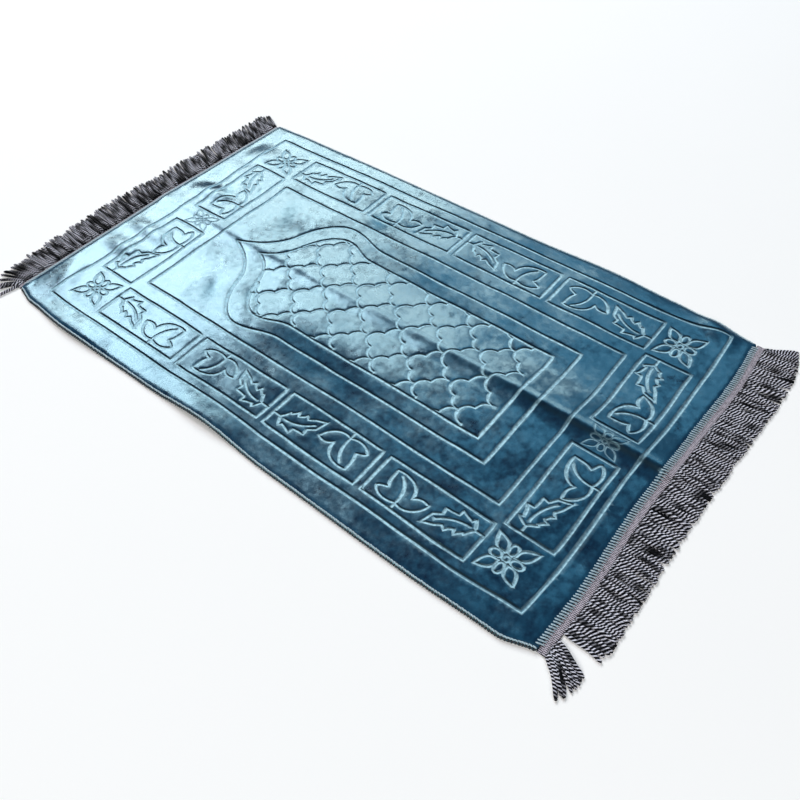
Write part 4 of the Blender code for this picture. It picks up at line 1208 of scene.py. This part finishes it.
def press(pressed_by, plan):
    """At each point, the depth of the grooves, how far the pile is melted and painted pale, partly
    as a highlight, and how much shade is painted beside a groove's lip."""
    x, y = plan.T
    depth, melted, shaded = (np.zeros(len(plan)) for _ in range(3))
    stretch, differs = LINE_UNEVEN
    uneven = 1 + differs * clouds(x, y, stretch, 23)
    by_near_end = 1 - eased(y, *HOLLOW_LINES_UP_TO)
    start, full, end, out = SHADE_BAND
    for die in pressed_by:
        gap, away = off_strokes(plan, die.grooves)
        gap = gap / (die.half_width * uneven)
        depth = np.maximum(depth, die.depth * (1 - eased(gap, GROOVE_BOTTOM, 1)))
        shady = np.clip(away @ SHADY_WAY, 0, 1)
        reach = 1 - MELT_NARROWS * shady
        melt = die.strength * (1 - eased(gap, reach - MELT_SOFT, reach + MELT_SOFT))
        melt = melt * (1 - die.hollow * by_near_end * (1 - eased(gap, *HOLLOW_MIDDLE)))
        melted = np.maximum(melted, melt)
        beside = eased(gap, start, full) * (1 - eased(gap, end, out))
        shaded = np.maximum(shaded, die.strength * shady ** 1.5 * beside)
    return depth, melted * (1 - shaded), shaded


def by_crest(x, y, reach):
    """Hump across the fold, its middle and half width counted from the crest."""
    middle, half = reach
    return hump(np.abs(x - ridge_x(y) - middle) / half)


def pile_lay(x, y, in_arch, smudged, turned):
    """Tilt of the pile's gloss at each point."""
    lay = sum(each_hump(PILE_LAY, x, y)) + SMUDGE_LAY * smudged
    lay[in_arch] += smooth_table(LATTICE_LAY, y[in_arch])
    for table, reach in zip((SHORT_OF_CREST_LAY, PAST_CREST_LAY), CREST_LAY_REACHES):
        lay += smooth_table(table, y) * by_crest(x, y, reach)
    return lay * (1 - turned) + PAINTED_SHADE_LAY * turned


def build_cloth(sizes, material):
    """The whole cloth as one closed skin.

    Top: height over the floor is lift + thickness + crown + hollows + the lattice's swelling
    - smudges - pressed grooves. Underside: lift alone. The two meet along the outline through an
    upright band. Attributes: "pressed" is 1 where the pile is melted flat, partly with a painted
    highlight, and where a highlight is painted on the fold's crest; the painted shade attribute
    is 1 where shade is painted beside the lines, on the fold's near side and along the near long
    edge; "smudged" is 1 where a hand has wiped it and "lay" is the tilt of its gloss.
    """
    outline = outline_points(OUTLINE_STEP)
    pressed_by = dies(sizes)
    plan, tris = top_mesh(outline, pressed_by)
    x, y = plan.T
    from_edge = edge_gap(x, y)
    depth, pressed, turned = press(pressed_by, plan)

    in_arch = np.nonzero(inside_in_blocks(plan, laid(arch(*INNER_ARCH))))[0]
    gap, _ = off_strokes(plan[in_arch], pressed_by[1].grooves, LATTICE_SWELL[1])
    swollen = np.zeros(len(plan))
    swollen[in_arch] = swell(gap, *LATTICE_SWELL) - LATTICE_SWELL[0] / 2
    smudged = humps(SMUDGES, x, y)
    soft = eased(from_edge, 0, HOLLOWS_FROM_EDGE)
    height = (lift(x, y) + rim_height(from_edge) - depth + swollen - SMUDGE_DEPTH * smudged
              + soft * (crown(x, y) + hollows(x, y)))

    # Painted highlight on the fold's crest, in the pale of the melted lines.
    crest_highlight = smooth_table(CREST_PAINTED_HIGHLIGHT, y) * by_crest(x, y, CREST_HIGHLIGHT_REACH)
    pressed = np.maximum(pressed, crest_highlight * (1 - turned))
    # Painted shade on the fold's near side by the near end.
    own_shade = smooth_table(RIDGE_SHADE, y) * by_crest(x, y, RIDGE_SHADE_REACH)
    # Painted shade along the near long edge, whose side faces away from the lights.
    rim = 1 - eased(x + smooth_table(NEAR_LONG_EDGE, y), *RIM_SHADE)
    turned = np.maximum.reduce([turned, own_shade, rim])
    lay = pile_lay(x, y, in_arch, smudged, turned)

    under_plan, under_tris = under_mesh(outline)
    bands = [np.column_stack([outline, lift(*outline.T) + share * RIM_THICK])
             for share in BAND_HEIGHTS]
    verts = np.vstack([np.column_stack([plan, height]), *bands,
                       np.column_stack([under_plan, lift(*under_plan.T)])])
    count = len(outline)
    rings = [0, len(plan), len(plan) + count, len(plan) + 2 * count]
    here = np.arange(count)
    following = (here + 1) % count
    faces = [tris]
    for upper, lower in zip(rings, rings[1:]):
        faces.append(np.stack([upper + following, upper + here, lower + here], axis=1))
        faces.append(np.stack([upper + following, lower + here, lower + following], axis=1))
    faces.append(rings[-1] + under_tris[:, ::-1])
    piece = make_piece("velvet_cloth", verts, np.vstack(faces).tolist(), material,
                       ["rug_cloth"])
    hidden = len(verts) - len(plan)
    for name, values, where_hidden in (("pressed", pressed, 0), ("turned", turned, 1),
                                       ("smudged", smudged, 0), ("lay", lay, 0)):
        give_attribute(piece, name, np.concatenate([values, np.full(hidden, where_hidden)]))
    return piece


# ================================================================ overlocking
STITCH_DIFFERS = (0.12, 0.0003)         # in length, as a share, and in place along the edge


def along_line(line, pitch):
    """Places at an even pitch along a line, with the direction of the line there."""
    steps = np.linalg.norm(np.diff(line, axis=0), axis=1)
    length = np.concatenate([[0], np.cumsum(steps)])
    at = np.arange(pitch / 2, length[-1], pitch)
    points = np.stack([np.interp(at, length, line[:, axis]) for axis in (0, 1)], axis=1)
    ahead = np.stack([np.interp(at, length, np.gradient(line[:, axis], length))
                      for axis in (0, 1)], axis=1)
    return points, ahead / np.linalg.norm(ahead, axis=1)[:, None]


def long_edge(table, at_x, outward):
    """A long edge of the cloth in plan, walked so that the cloth lies on its left."""
    along = np.linspace(CORNER_ROUND, CLOTH_LENGTH - CORNER_ROUND, 300)
    line = np.stack([at_x + outward * smooth_table(table, along), along], axis=1)
    return line if outward > 0 else line[::-1]


def short_edge(table, at_y, outward):
    across = np.linspace(CORNER_ROUND, CLOTH_WIDTH - CORNER_ROUND, 200)
    line = np.stack([across, at_y + outward * smooth_table(table, across)], axis=1)
    return line if outward < 0 else line[::-1]


def stitch_paths(line, sizes, profile, chance):
    """One path for each overlock stitch of a line.

    profile has the columns distance in from the edge, height over the floor less the lift, and
    shift along the edge. Each stitch follows it, a little longer or shorter than the next.
    """
    at, ahead = along_line(line, sizes.stitch_pitch)
    inwards = np.stack([-ahead[:, 1], ahead[:, 0]], axis=1)
    distance, height, shift = np.array(profile).T
    longer, aside = STITCH_DIFFERS
    stretch = 1 + longer * chance.uniform(-1, 1, len(at))
    jitter = aside * chance.uniform(-1, 1, len(at))
    inward = np.where(distance > 0, distance * stretch[:, None], distance)
    plan = (at[:, None] + inwards[:, None] * inward[..., None]
            + ahead[:, None] * (shift[None] + jitter[:, None])[..., None])
    return np.concatenate([plan, (lift(plan[..., 0], plan[..., 1]) + height)[..., None]], axis=2)


def build_overlock(name, lines, sizes, profile, material):
    """A row of stitches along each line: six-sided tubes, pressed a little flat."""
    chance = np.random.default_rng(5)
    paths = np.vstack([stitch_paths(line, sizes, profile, chance) for line in lines])
    radii = np.full(paths.shape[:2], sizes.thread / 2)
    return tube_piece(name, paths, radii, 6, material, flat=0.7)


def rim_profile():
    """Over the rim: from where the needle goes in, over the edge and back under it."""
    bite = 0.0044
    top = rim_height(np.array([bite, 0.6 * bite, 0.25 * bite]))
    return ((bite, top[0] - 0.0009, 0.0016), (0.6 * bite, top[1] - 0.0005, 0.0011),
            (0.25 * bite, top[2] - 0.0003, 0.0006), (-0.0002, 0.0026, 0.0002),
            (-0.0002, 0.0012, 0.0), (0.0016, 0.0006, -0.0003))


def chain_profile(pitch):
    """One link of the needle thread's chain, which lies along the rim just inside its edge."""
    level = float(rim_height(np.array(0.0030)))
    return ((0.0036, level + 0.0000, -0.56 * pitch), (0.0032, level + 0.0006, -0.2 * pitch),
            (0.0028, level + 0.0006, 0.2 * pitch), (0.0024, level + 0.0000, 0.56 * pitch))


def seam_profile():
    """Over the seam between cloth and tape: from the cloth's face down onto the tape."""
    bite = 0.0058
    top = rim_height(np.array([bite, 0.5 * bite, 0.15 * bite]))
    return ((bite, top[0] - 0.0005, -0.0032), (0.5 * bite, top[1] + 0.0004, -0.0020),
            (0.15 * bite, top[2] + 0.0006, -0.0009), (-0.0012, TAPE_THICK + 0.0016, 0.0002),
            (-0.0028, TAPE_THICK + 0.0006, 0.0014), (-0.0040, TAPE_THICK - 0.0002, 0.0022))


# ================================================================ tapes and cords
class Fringe(NamedTuple):
    """What differs between the rug's two ends. outward is the way that its cords lie along y,
    bunched counts the more cords at one side, and shaded is the share of the cords' length that
    gets shade painted on it, for where it lies between their neighbours."""
    end: str
    end_y: float
    outward: int
    edge: tuple
    tape_width: float
    comb: tuple
    partings: tuple
    bunched: int
    shaded: float
    seed: int


FRINGES = (
    Fringe("near", 0.0, -1, NEAR_SHORT_EDGE, TAPE_WIDTH, NEAR_COMB, NEAR_PARTINGS, BUNCHED_CORDS,
           0.22, 11),
    Fringe("far", CLOTH_LENGTH, 1, FAR_SHORT_EDGE, FAR_TAPE_WIDTH, FAR_COMB, FAR_PARTINGS, 0,
           0.52, 12),
)
# The tape's section. Columns: share of its width out from the cloth, share of its thickness.
TAPE_SECTION = ((0.0, 0.0), (0.0, 0.80), (0.10, 0.96), (0.22, 1.0), (0.34, 1.0), (0.46, 0.96),
                (0.50, 0.86), (0.54, 0.96), (0.66, 1.0), (0.78, 1.0), (0.90, 0.96), (1.0, 0.70),
                (1.0, 0.0))
RIBBED_FROM = 0.85          # the part of the section that carries ribs, in its thickness
RIB_HEIGHT = 0.00025
TAPE_OVERHANG = 0.002       # past the first and the last root
TAPE_GAP = 0.0003           # from the cloth


def comb_roots(comb):
    roots = np.array(comb)[:, 0]
    return np.linspace(roots[0] + COMB_MARGIN, roots[-1] - COMB_MARGIN, CORDS)


def cloth_end(fringe, place):
    """At each place across the rug, where the tape starts and how high the cloth's end lies."""
    on_cloth = np.clip(place, 0, CLOTH_WIDTH)
    back = smooth_table(fringe.edge, on_cloth) + TAPE_GAP
    return back, lift(on_cloth, np.full(len(place), fringe.end_y))


def build_tape(fringe, material):
    """A woven heading tape: a rounded band on a grid.

    Round the band goes a flattened oval, square on the cloth's side. Along it the top rises and
    falls with the weft, whose ribs alternate between its two halves.
    """
    roots = comb_roots(fringe.comb)
    along = np.arange(roots[0] - TAPE_OVERHANG, roots[-1] + TAPE_OVERHANG, TAPE_RIB / 4)
    back, raised = cloth_end(fringe, along)
    across, level = np.array(TAPE_SECTION).T
    on_top = (level > RIBBED_FROM).astype(float)
    turn = 2 * math.pi * along[:, None] / TAPE_RIB
    wave = np.cos(turn + np.where(across < 0.5, 0.0, math.pi))
    height = level * TAPE_THICK + on_top * RIB_HEIGHT * wave
    out = back[:, None] + across * fringe.tape_width
    verts = np.stack([np.broadcast_to(along[:, None], out.shape),
                      fringe.end_y + fringe.outward * out, raised[:, None] + height], axis=-1)
    rows, columns = out.shape
    row, column = np.meshgrid(np.arange(rows - 1), np.arange(columns), indexing="ij")
    following = (column + 1) % columns
    sides = np.stack([row * columns + column, (row + 1) * columns + column,
                      (row + 1) * columns + following, row * columns + following], axis=-1)
    first = np.arange(columns)
    caps = [first[::-1].tolist(), ((rows - 1) * columns + first).tolist()]
    faces = sides.reshape(-1, 4).tolist() + caps
    if fringe.outward > 0:
        faces = [face[::-1] for face in faces]
    piece = make_piece(f"tape_{fringe.end}", verts.reshape(-1, 3), faces, material,
                       [f"fringe_{fringe.end}"])
    # weave is 1 on a rib's crest and 0 in the troughs and off the top, where the material paints
    # shade.
    give_attribute(piece, "weave", ((0.5 + 0.5 * wave) * on_top).ravel())
    return piece


PARTING = (0.0016, 0.012)           # how far it pushes the tips, and how far its push reaches
CORD_STATIONS, CORD_SIDES = 14, 6
CORD_FLAT = 0.9                     # height of a cord's section, of its width
CORD_ROOT = 0.88                    # where it leaves the tape, of the tape's width
CORD_SWAY = (0.0013, 6.5)           # how far, and how many radians of a wave along it
CORD_SINKS_BY = 0.35                # of its length
TIP_STRAY = (0.0009, 0.0022)        # of every cord's tip sideways, and more of a loose one's
LOOSE_SHORTER = 0.8                 # of the unevenness of its fringe
LOOSE_RISE = 0.7                    # over the others, of a cord's thickness
LOOSE_FROM_GAP = 0.012              # no loose root nearer the near gap
CORD_DIFFERS, TWIST_DIFFERS = 0.08, 0.12
SHADE_PLACES, SHADE_BUNCH, SHADE_SOFT = 5, 3, 0.15


def parting_shift(roots, partings):
    """Sideways push of the cords' tips away from each parting, falling off as a bell."""
    push, reach = PARTING
    away = roots[:, None] - np.array(partings)
    return (push * np.sign(away) * np.exp(-(away / reach) ** 2)).sum(axis=1)


def painted_shade_along(chance, share, count, shaded):
    """How much shade is painted on each cord at each share of its length, for where it lies
    between its neighbours. At a few places along it each cord gets a random level of its own and
    one of its bunch, and the lowest get the shade; between the places it is read in a straight
    line."""
    bunch = np.arange(count) // SHADE_BUNCH
    level = (chance.random((count, SHADE_PLACES))
             + chance.random((bunch[-1] + 1, SHADE_PLACES))[bunch])
    painted_shade_level = np.clip((np.quantile(level, shaded) - level) / SHADE_SOFT + 0.5, 0, 1)
    place = share * (SHADE_PLACES - 1 - 0.001)
    step = place.astype(int)
    return painted_shade_level[:, step] * (1 - (place - step)) + painted_shade_level[:, step + 1] * (place - step)


def build_cords(fringe, sizes, material):
    """Twisted cords, each a tube along a soft curve from inside the tape down to the floor.

    A cord leaves the tape a quarter of its thickness up, sinks to the floor over its first third
    and runs on to its combed tip with a slow sideways sway; its ends taper. Some loose cords lie
    over the others: they rise by most of a cord's thickness and their tips stray. The attribute
    "shade" is how much shade is painted on a stretch of a cord, for where it lies between its
    neighbours.
    """
    chance = np.random.default_rng(fringe.seed)
    comb_root, comb_x, comb_out = np.array(fringe.comb).T
    even = comb_roots(fringe.comb)
    if fringe.bunched:
        even = even[(even < NEAR_GAP[0]) | (even > NEAR_GAP[1])]
    loose = chance.uniform(NEAR_GAP[1] + LOOSE_FROM_GAP, even[-1], sizes.loose_cords)
    loose = np.concatenate([loose, chance.uniform(*BUNCH_ROOTS, fringe.bunched)])
    roots = np.concatenate([even, loose])
    count = len(roots)
    over = np.concatenate([np.zeros(len(even)), np.ones(len(loose))])
    back, raised = cloth_end(fringe, roots)
    start = back + CORD_ROOT * fringe.tape_width
    stray, loose_stray = TIP_STRAY
    tip_x = np.interp(roots, comb_root, comb_x) + parting_shift(roots, fringe.partings)
    tip_x = tip_x + (stray + loose_stray * over) * chance.standard_normal(count)
    uneven = getattr(sizes, f"{fringe.end}_unevenness")
    tip_out = np.interp(roots, comb_root, comb_out)
    tip_out = tip_out - uneven * (chance.random(count) ** 2 + LOOSE_SHORTER * over)

    share = np.linspace(0, 1, CORD_STATIONS)[None]
    phase = chance.uniform(0, 2 * math.pi, count)[:, None]
    aside, waves = CORD_SWAY
    sway = aside * np.sin(phase + share * waves) * np.sqrt(share)
    x = roots[:, None] + (tip_x - roots)[:, None] * share ** 1.25 + sway
    out = start[:, None] + (tip_out - start)[:, None] * share
    radius = sizes.cord / 2 * (1 + CORD_DIFFERS * chance.standard_normal(count))[:, None]
    taper = np.clip(np.minimum(0.55 + 5 * share, 0.6 + 4 * (1 - share)), 0, 1)
    radii = radius * taper
    sink = hump(np.clip(share / CORD_SINKS_BY, 0, 1))
    rise = np.sin(math.pi * np.clip(1.05 * share, 0, 1)) ** 0.5
    height = (radii * CORD_FLAT + (raised[:, None] + 0.25 * TAPE_THICK) * sink
              + over[:, None] * LOOSE_RISE * sizes.cord * rise)
    paths = np.stack([x, fringe.end_y + fringe.outward * out, height], axis=-1)
    twist_start = chance.uniform(0, PLY_TWIST, count)
    twist_rate = 1 + TWIST_DIFFERS * chance.standard_normal(count)
    piece = tube_piece(f"cords_{fringe.end}", paths, radii, CORD_SIDES, material,
                       [f"fringe_{fringe.end}"], CORD_FLAT, twist_start,
                       twist_rate)
    painted_shade_level = painted_shade_along(chance, share[0], count, fringe.shaded)
    give_attribute(piece, "shade", np.concatenate([np.repeat(painted_shade_level.ravel(), CORD_SIDES),
                                                   painted_shade_level[:, 0], painted_shade_level[:, -1]]))
    return piece


# ================================================================ operators
def settings():
    scene = bpy.context.scene
    return scene.rug_sizes, scene.rug_colours, scene.rug_studio


class RUG_OT_cloth(bpy.types.Operator):
    """Build the pressed velvet cloth"""
    bl_idname = "rug.cloth"
    bl_label = "Velvet cloth"

    def execute(self, context):
        sizes, colours, _ = settings()
        build_cloth(sizes, velvet_material(colours))
        return {"FINISHED"}


class RUG_OT_overlock(bpy.types.Operator):
    """Build the overlock stitches along the long edges and over the tape seams"""
    bl_idname = "rug.overlock"
    bl_label = "Overlock stitches"

    def execute(self, context):
        sizes, colours, _ = settings()
        pale = thread_material("spun_polyester_thread_pale", colours.thread)
        # Near edge's looper thread painted dark as shade; the far edge has the same thread in teal.
        dark = thread_material("spun_polyester_thread_dark", colours.rim_thread_painted_shade)
        teal = thread_material("spun_polyester_thread_teal", colours.far_thread)
        long_edges = [long_edge(NEAR_LONG_EDGE, 0, -1), long_edge(FAR_LONG_EDGE, CLOTH_WIDTH, 1)]
        short_edges = [short_edge(NEAR_SHORT_EDGE, 0, -1),
                       short_edge(FAR_SHORT_EDGE, CLOTH_LENGTH, 1)]
        chain = chain_profile(sizes.stitch_pitch)
        for name, lines, profile, thread in (
                ("overlock_near_edge", long_edges[:1], rim_profile(), dark),
                ("overlock_far_edge", long_edges[1:], rim_profile(), teal),
                ("overlock_chains", long_edges, chain, pale),
                ("overlock_tape_seams", short_edges, seam_profile(), pale)):
            build_overlock(name, lines, sizes, profile, thread)
        return {"FINISHED"}


class RUG_OT_fringe(bpy.types.Operator):
    """Build the woven heading tapes and their twisted cords"""
    bl_idname = "rug.fringe"
    bl_label = "Tapes and cords"

    def execute(self, context):
        sizes, colours, _ = settings()
        braid, cord = tape_material(colours), cord_material(colours)
        for fringe in FRINGES:
            build_tape(fringe, braid)
            build_cords(fringe, sizes, cord)
        return {"FINISHED"}


class RUG_OT_stage(bpy.types.Operator):
    """Set up the floor, the lights and the camera"""
    bl_idname = "rug.stage"
    bl_label = "Studio"

    def execute(self, context):
        _, colours, studio = settings()
        add_floor(floor_material(colours))
        add_lights(studio)
        add_camera()
        return {"FINISHED"}


def add_floor(material):
    reach = 6.0
    mesh = bpy.data.meshes.new("floor")
    corners = [(-reach, -reach, 0), (reach, -reach, 0), (reach, reach, 0), (-reach, reach, 0)]
    mesh.from_pydata(corners, [], [(0, 1, 2, 3)])
    mesh.materials.append(material)
    floor = bpy.data.objects.new("floor", mesh)
    bpy.context.scene.collection.objects.link(floor)


# Lights ten metres out. Columns: name of the setting with its power, heading in degrees from +X,
# height above the horizon in degrees, width and height in metres, colour.
LIGHTS = (
    ("window", 50, 32, 7.0, 2.2, (0.97, 1.0, 0.98)),
    ("high_window", 70, 44, 3.4, 2.2, (1.0, 0.96, 1.0)),
    ("sky_panel", 18, 46, 3.4, 3.0, (0.30, 0.72, 1.0)),
    ("room_lamp", 200, 40, 4.5, 3.5, (1.0, 1.0, 0.96)),
    ("low_lamp", 270, 40, 3.5, 2.5, (1.0, 0.94, 0.98)),
)
LIGHT_DISTANCE = 10.0


def add_lights(studio):
    """Wide soft lights that all face the rug's middle, in a dim room."""
    for name, heading, elevation, width, height, colour in LIGHTS:
        light = bpy.data.lights.new(name, "AREA")
        light.shape = "RECTANGLE"
        light.size, light.size_y = width, height
        light.energy = getattr(studio, name)
        light.color = colour
        turn, rise = math.radians(heading), math.radians(elevation)
        direction = Vector((math.cos(turn) * math.cos(rise), math.sin(turn) * math.cos(rise),
                            math.sin(rise)))
        holder = bpy.data.objects.new(name, light)
        holder.location = direction * LIGHT_DISTANCE
        holder.rotation_mode = "QUATERNION"
        holder.rotation_quaternion = direction.to_track_quat("Z", "Y")
        bpy.context.scene.collection.objects.link(holder)
    world = bpy.data.worlds.new("room")
    world.use_nodes = True
    background = world.node_tree.nodes["Background"]
    background.inputs["Color"].default_value = (1, 1, 1, 1)
    background.inputs["Strength"].default_value = studio.room
    bpy.context.scene.world = world
    bpy.context.scene.view_settings.view_transform = "Standard"


def add_camera():
    camera = bpy.data.cameras.new("camera")
    camera.lens = CAMERA_LENS_MM
    camera.sensor_width = 36.0
    holder = bpy.data.objects.new("camera", camera)
    look, up = Vector(CAMERA_LOOK), Vector(CAMERA_UP)
    right = look.cross(up).normalized()
    up = right.cross(look).normalized()
    turn = Matrix((right, up, -look.normalized())).transposed()
    holder.matrix_world = turn.to_4x4()
    holder.location = on_floor(np.array(CAMERA_AT))
    bpy.context.scene.collection.objects.link(holder)
    bpy.context.scene.camera = holder


class RUG_PT_panel(bpy.types.Panel):
    """Buttons and settings of the rug"""
    bl_idname = "RUG_PT_panel"
    bl_label = "Prayer rug"
    bl_space_type = "VIEW_3D"
    bl_region_type = "UI"
    bl_category = "Rug"

    def draw(self, context):
        for operator in OPERATORS:
            self.layout.operator(operator.bl_idname)
        for group in (context.scene.rug_sizes, context.scene.rug_colours,
                      context.scene.rug_studio):
            box = self.layout.box()
            for name in group.bl_rna.properties.keys():
                if name not in ("rna_type", "name"):
                    box.prop(group, name)


GROUPS = {"rug_sizes": RugSizes, "rug_colours": RugColours, "rug_studio": RugStudio}
OPERATORS = (RUG_OT_stage, RUG_OT_cloth, RUG_OT_overlock, RUG_OT_fringe)


def register():
    for kind in (*GROUPS.values(), *OPERATORS, RUG_PT_panel):
        bpy.utils.register_class(kind)
    for name, kind in GROUPS.items():
        setattr(bpy.types.Scene, name, PointerProperty(type=kind))


def unregister():
    for name in GROUPS:
        delattr(bpy.types.Scene, name)
    for kind in (RUG_PT_panel, *reversed(OPERATORS), *reversed(GROUPS.values())):
        bpy.utils.unregister_class(kind)


def main():
    register()
    bpy.ops.rug.stage()
    bpy.ops.rug.cloth()
    bpy.ops.rug.overlock()
    bpy.ops.rug.fringe()


if __name__ == "__main__":
    main()
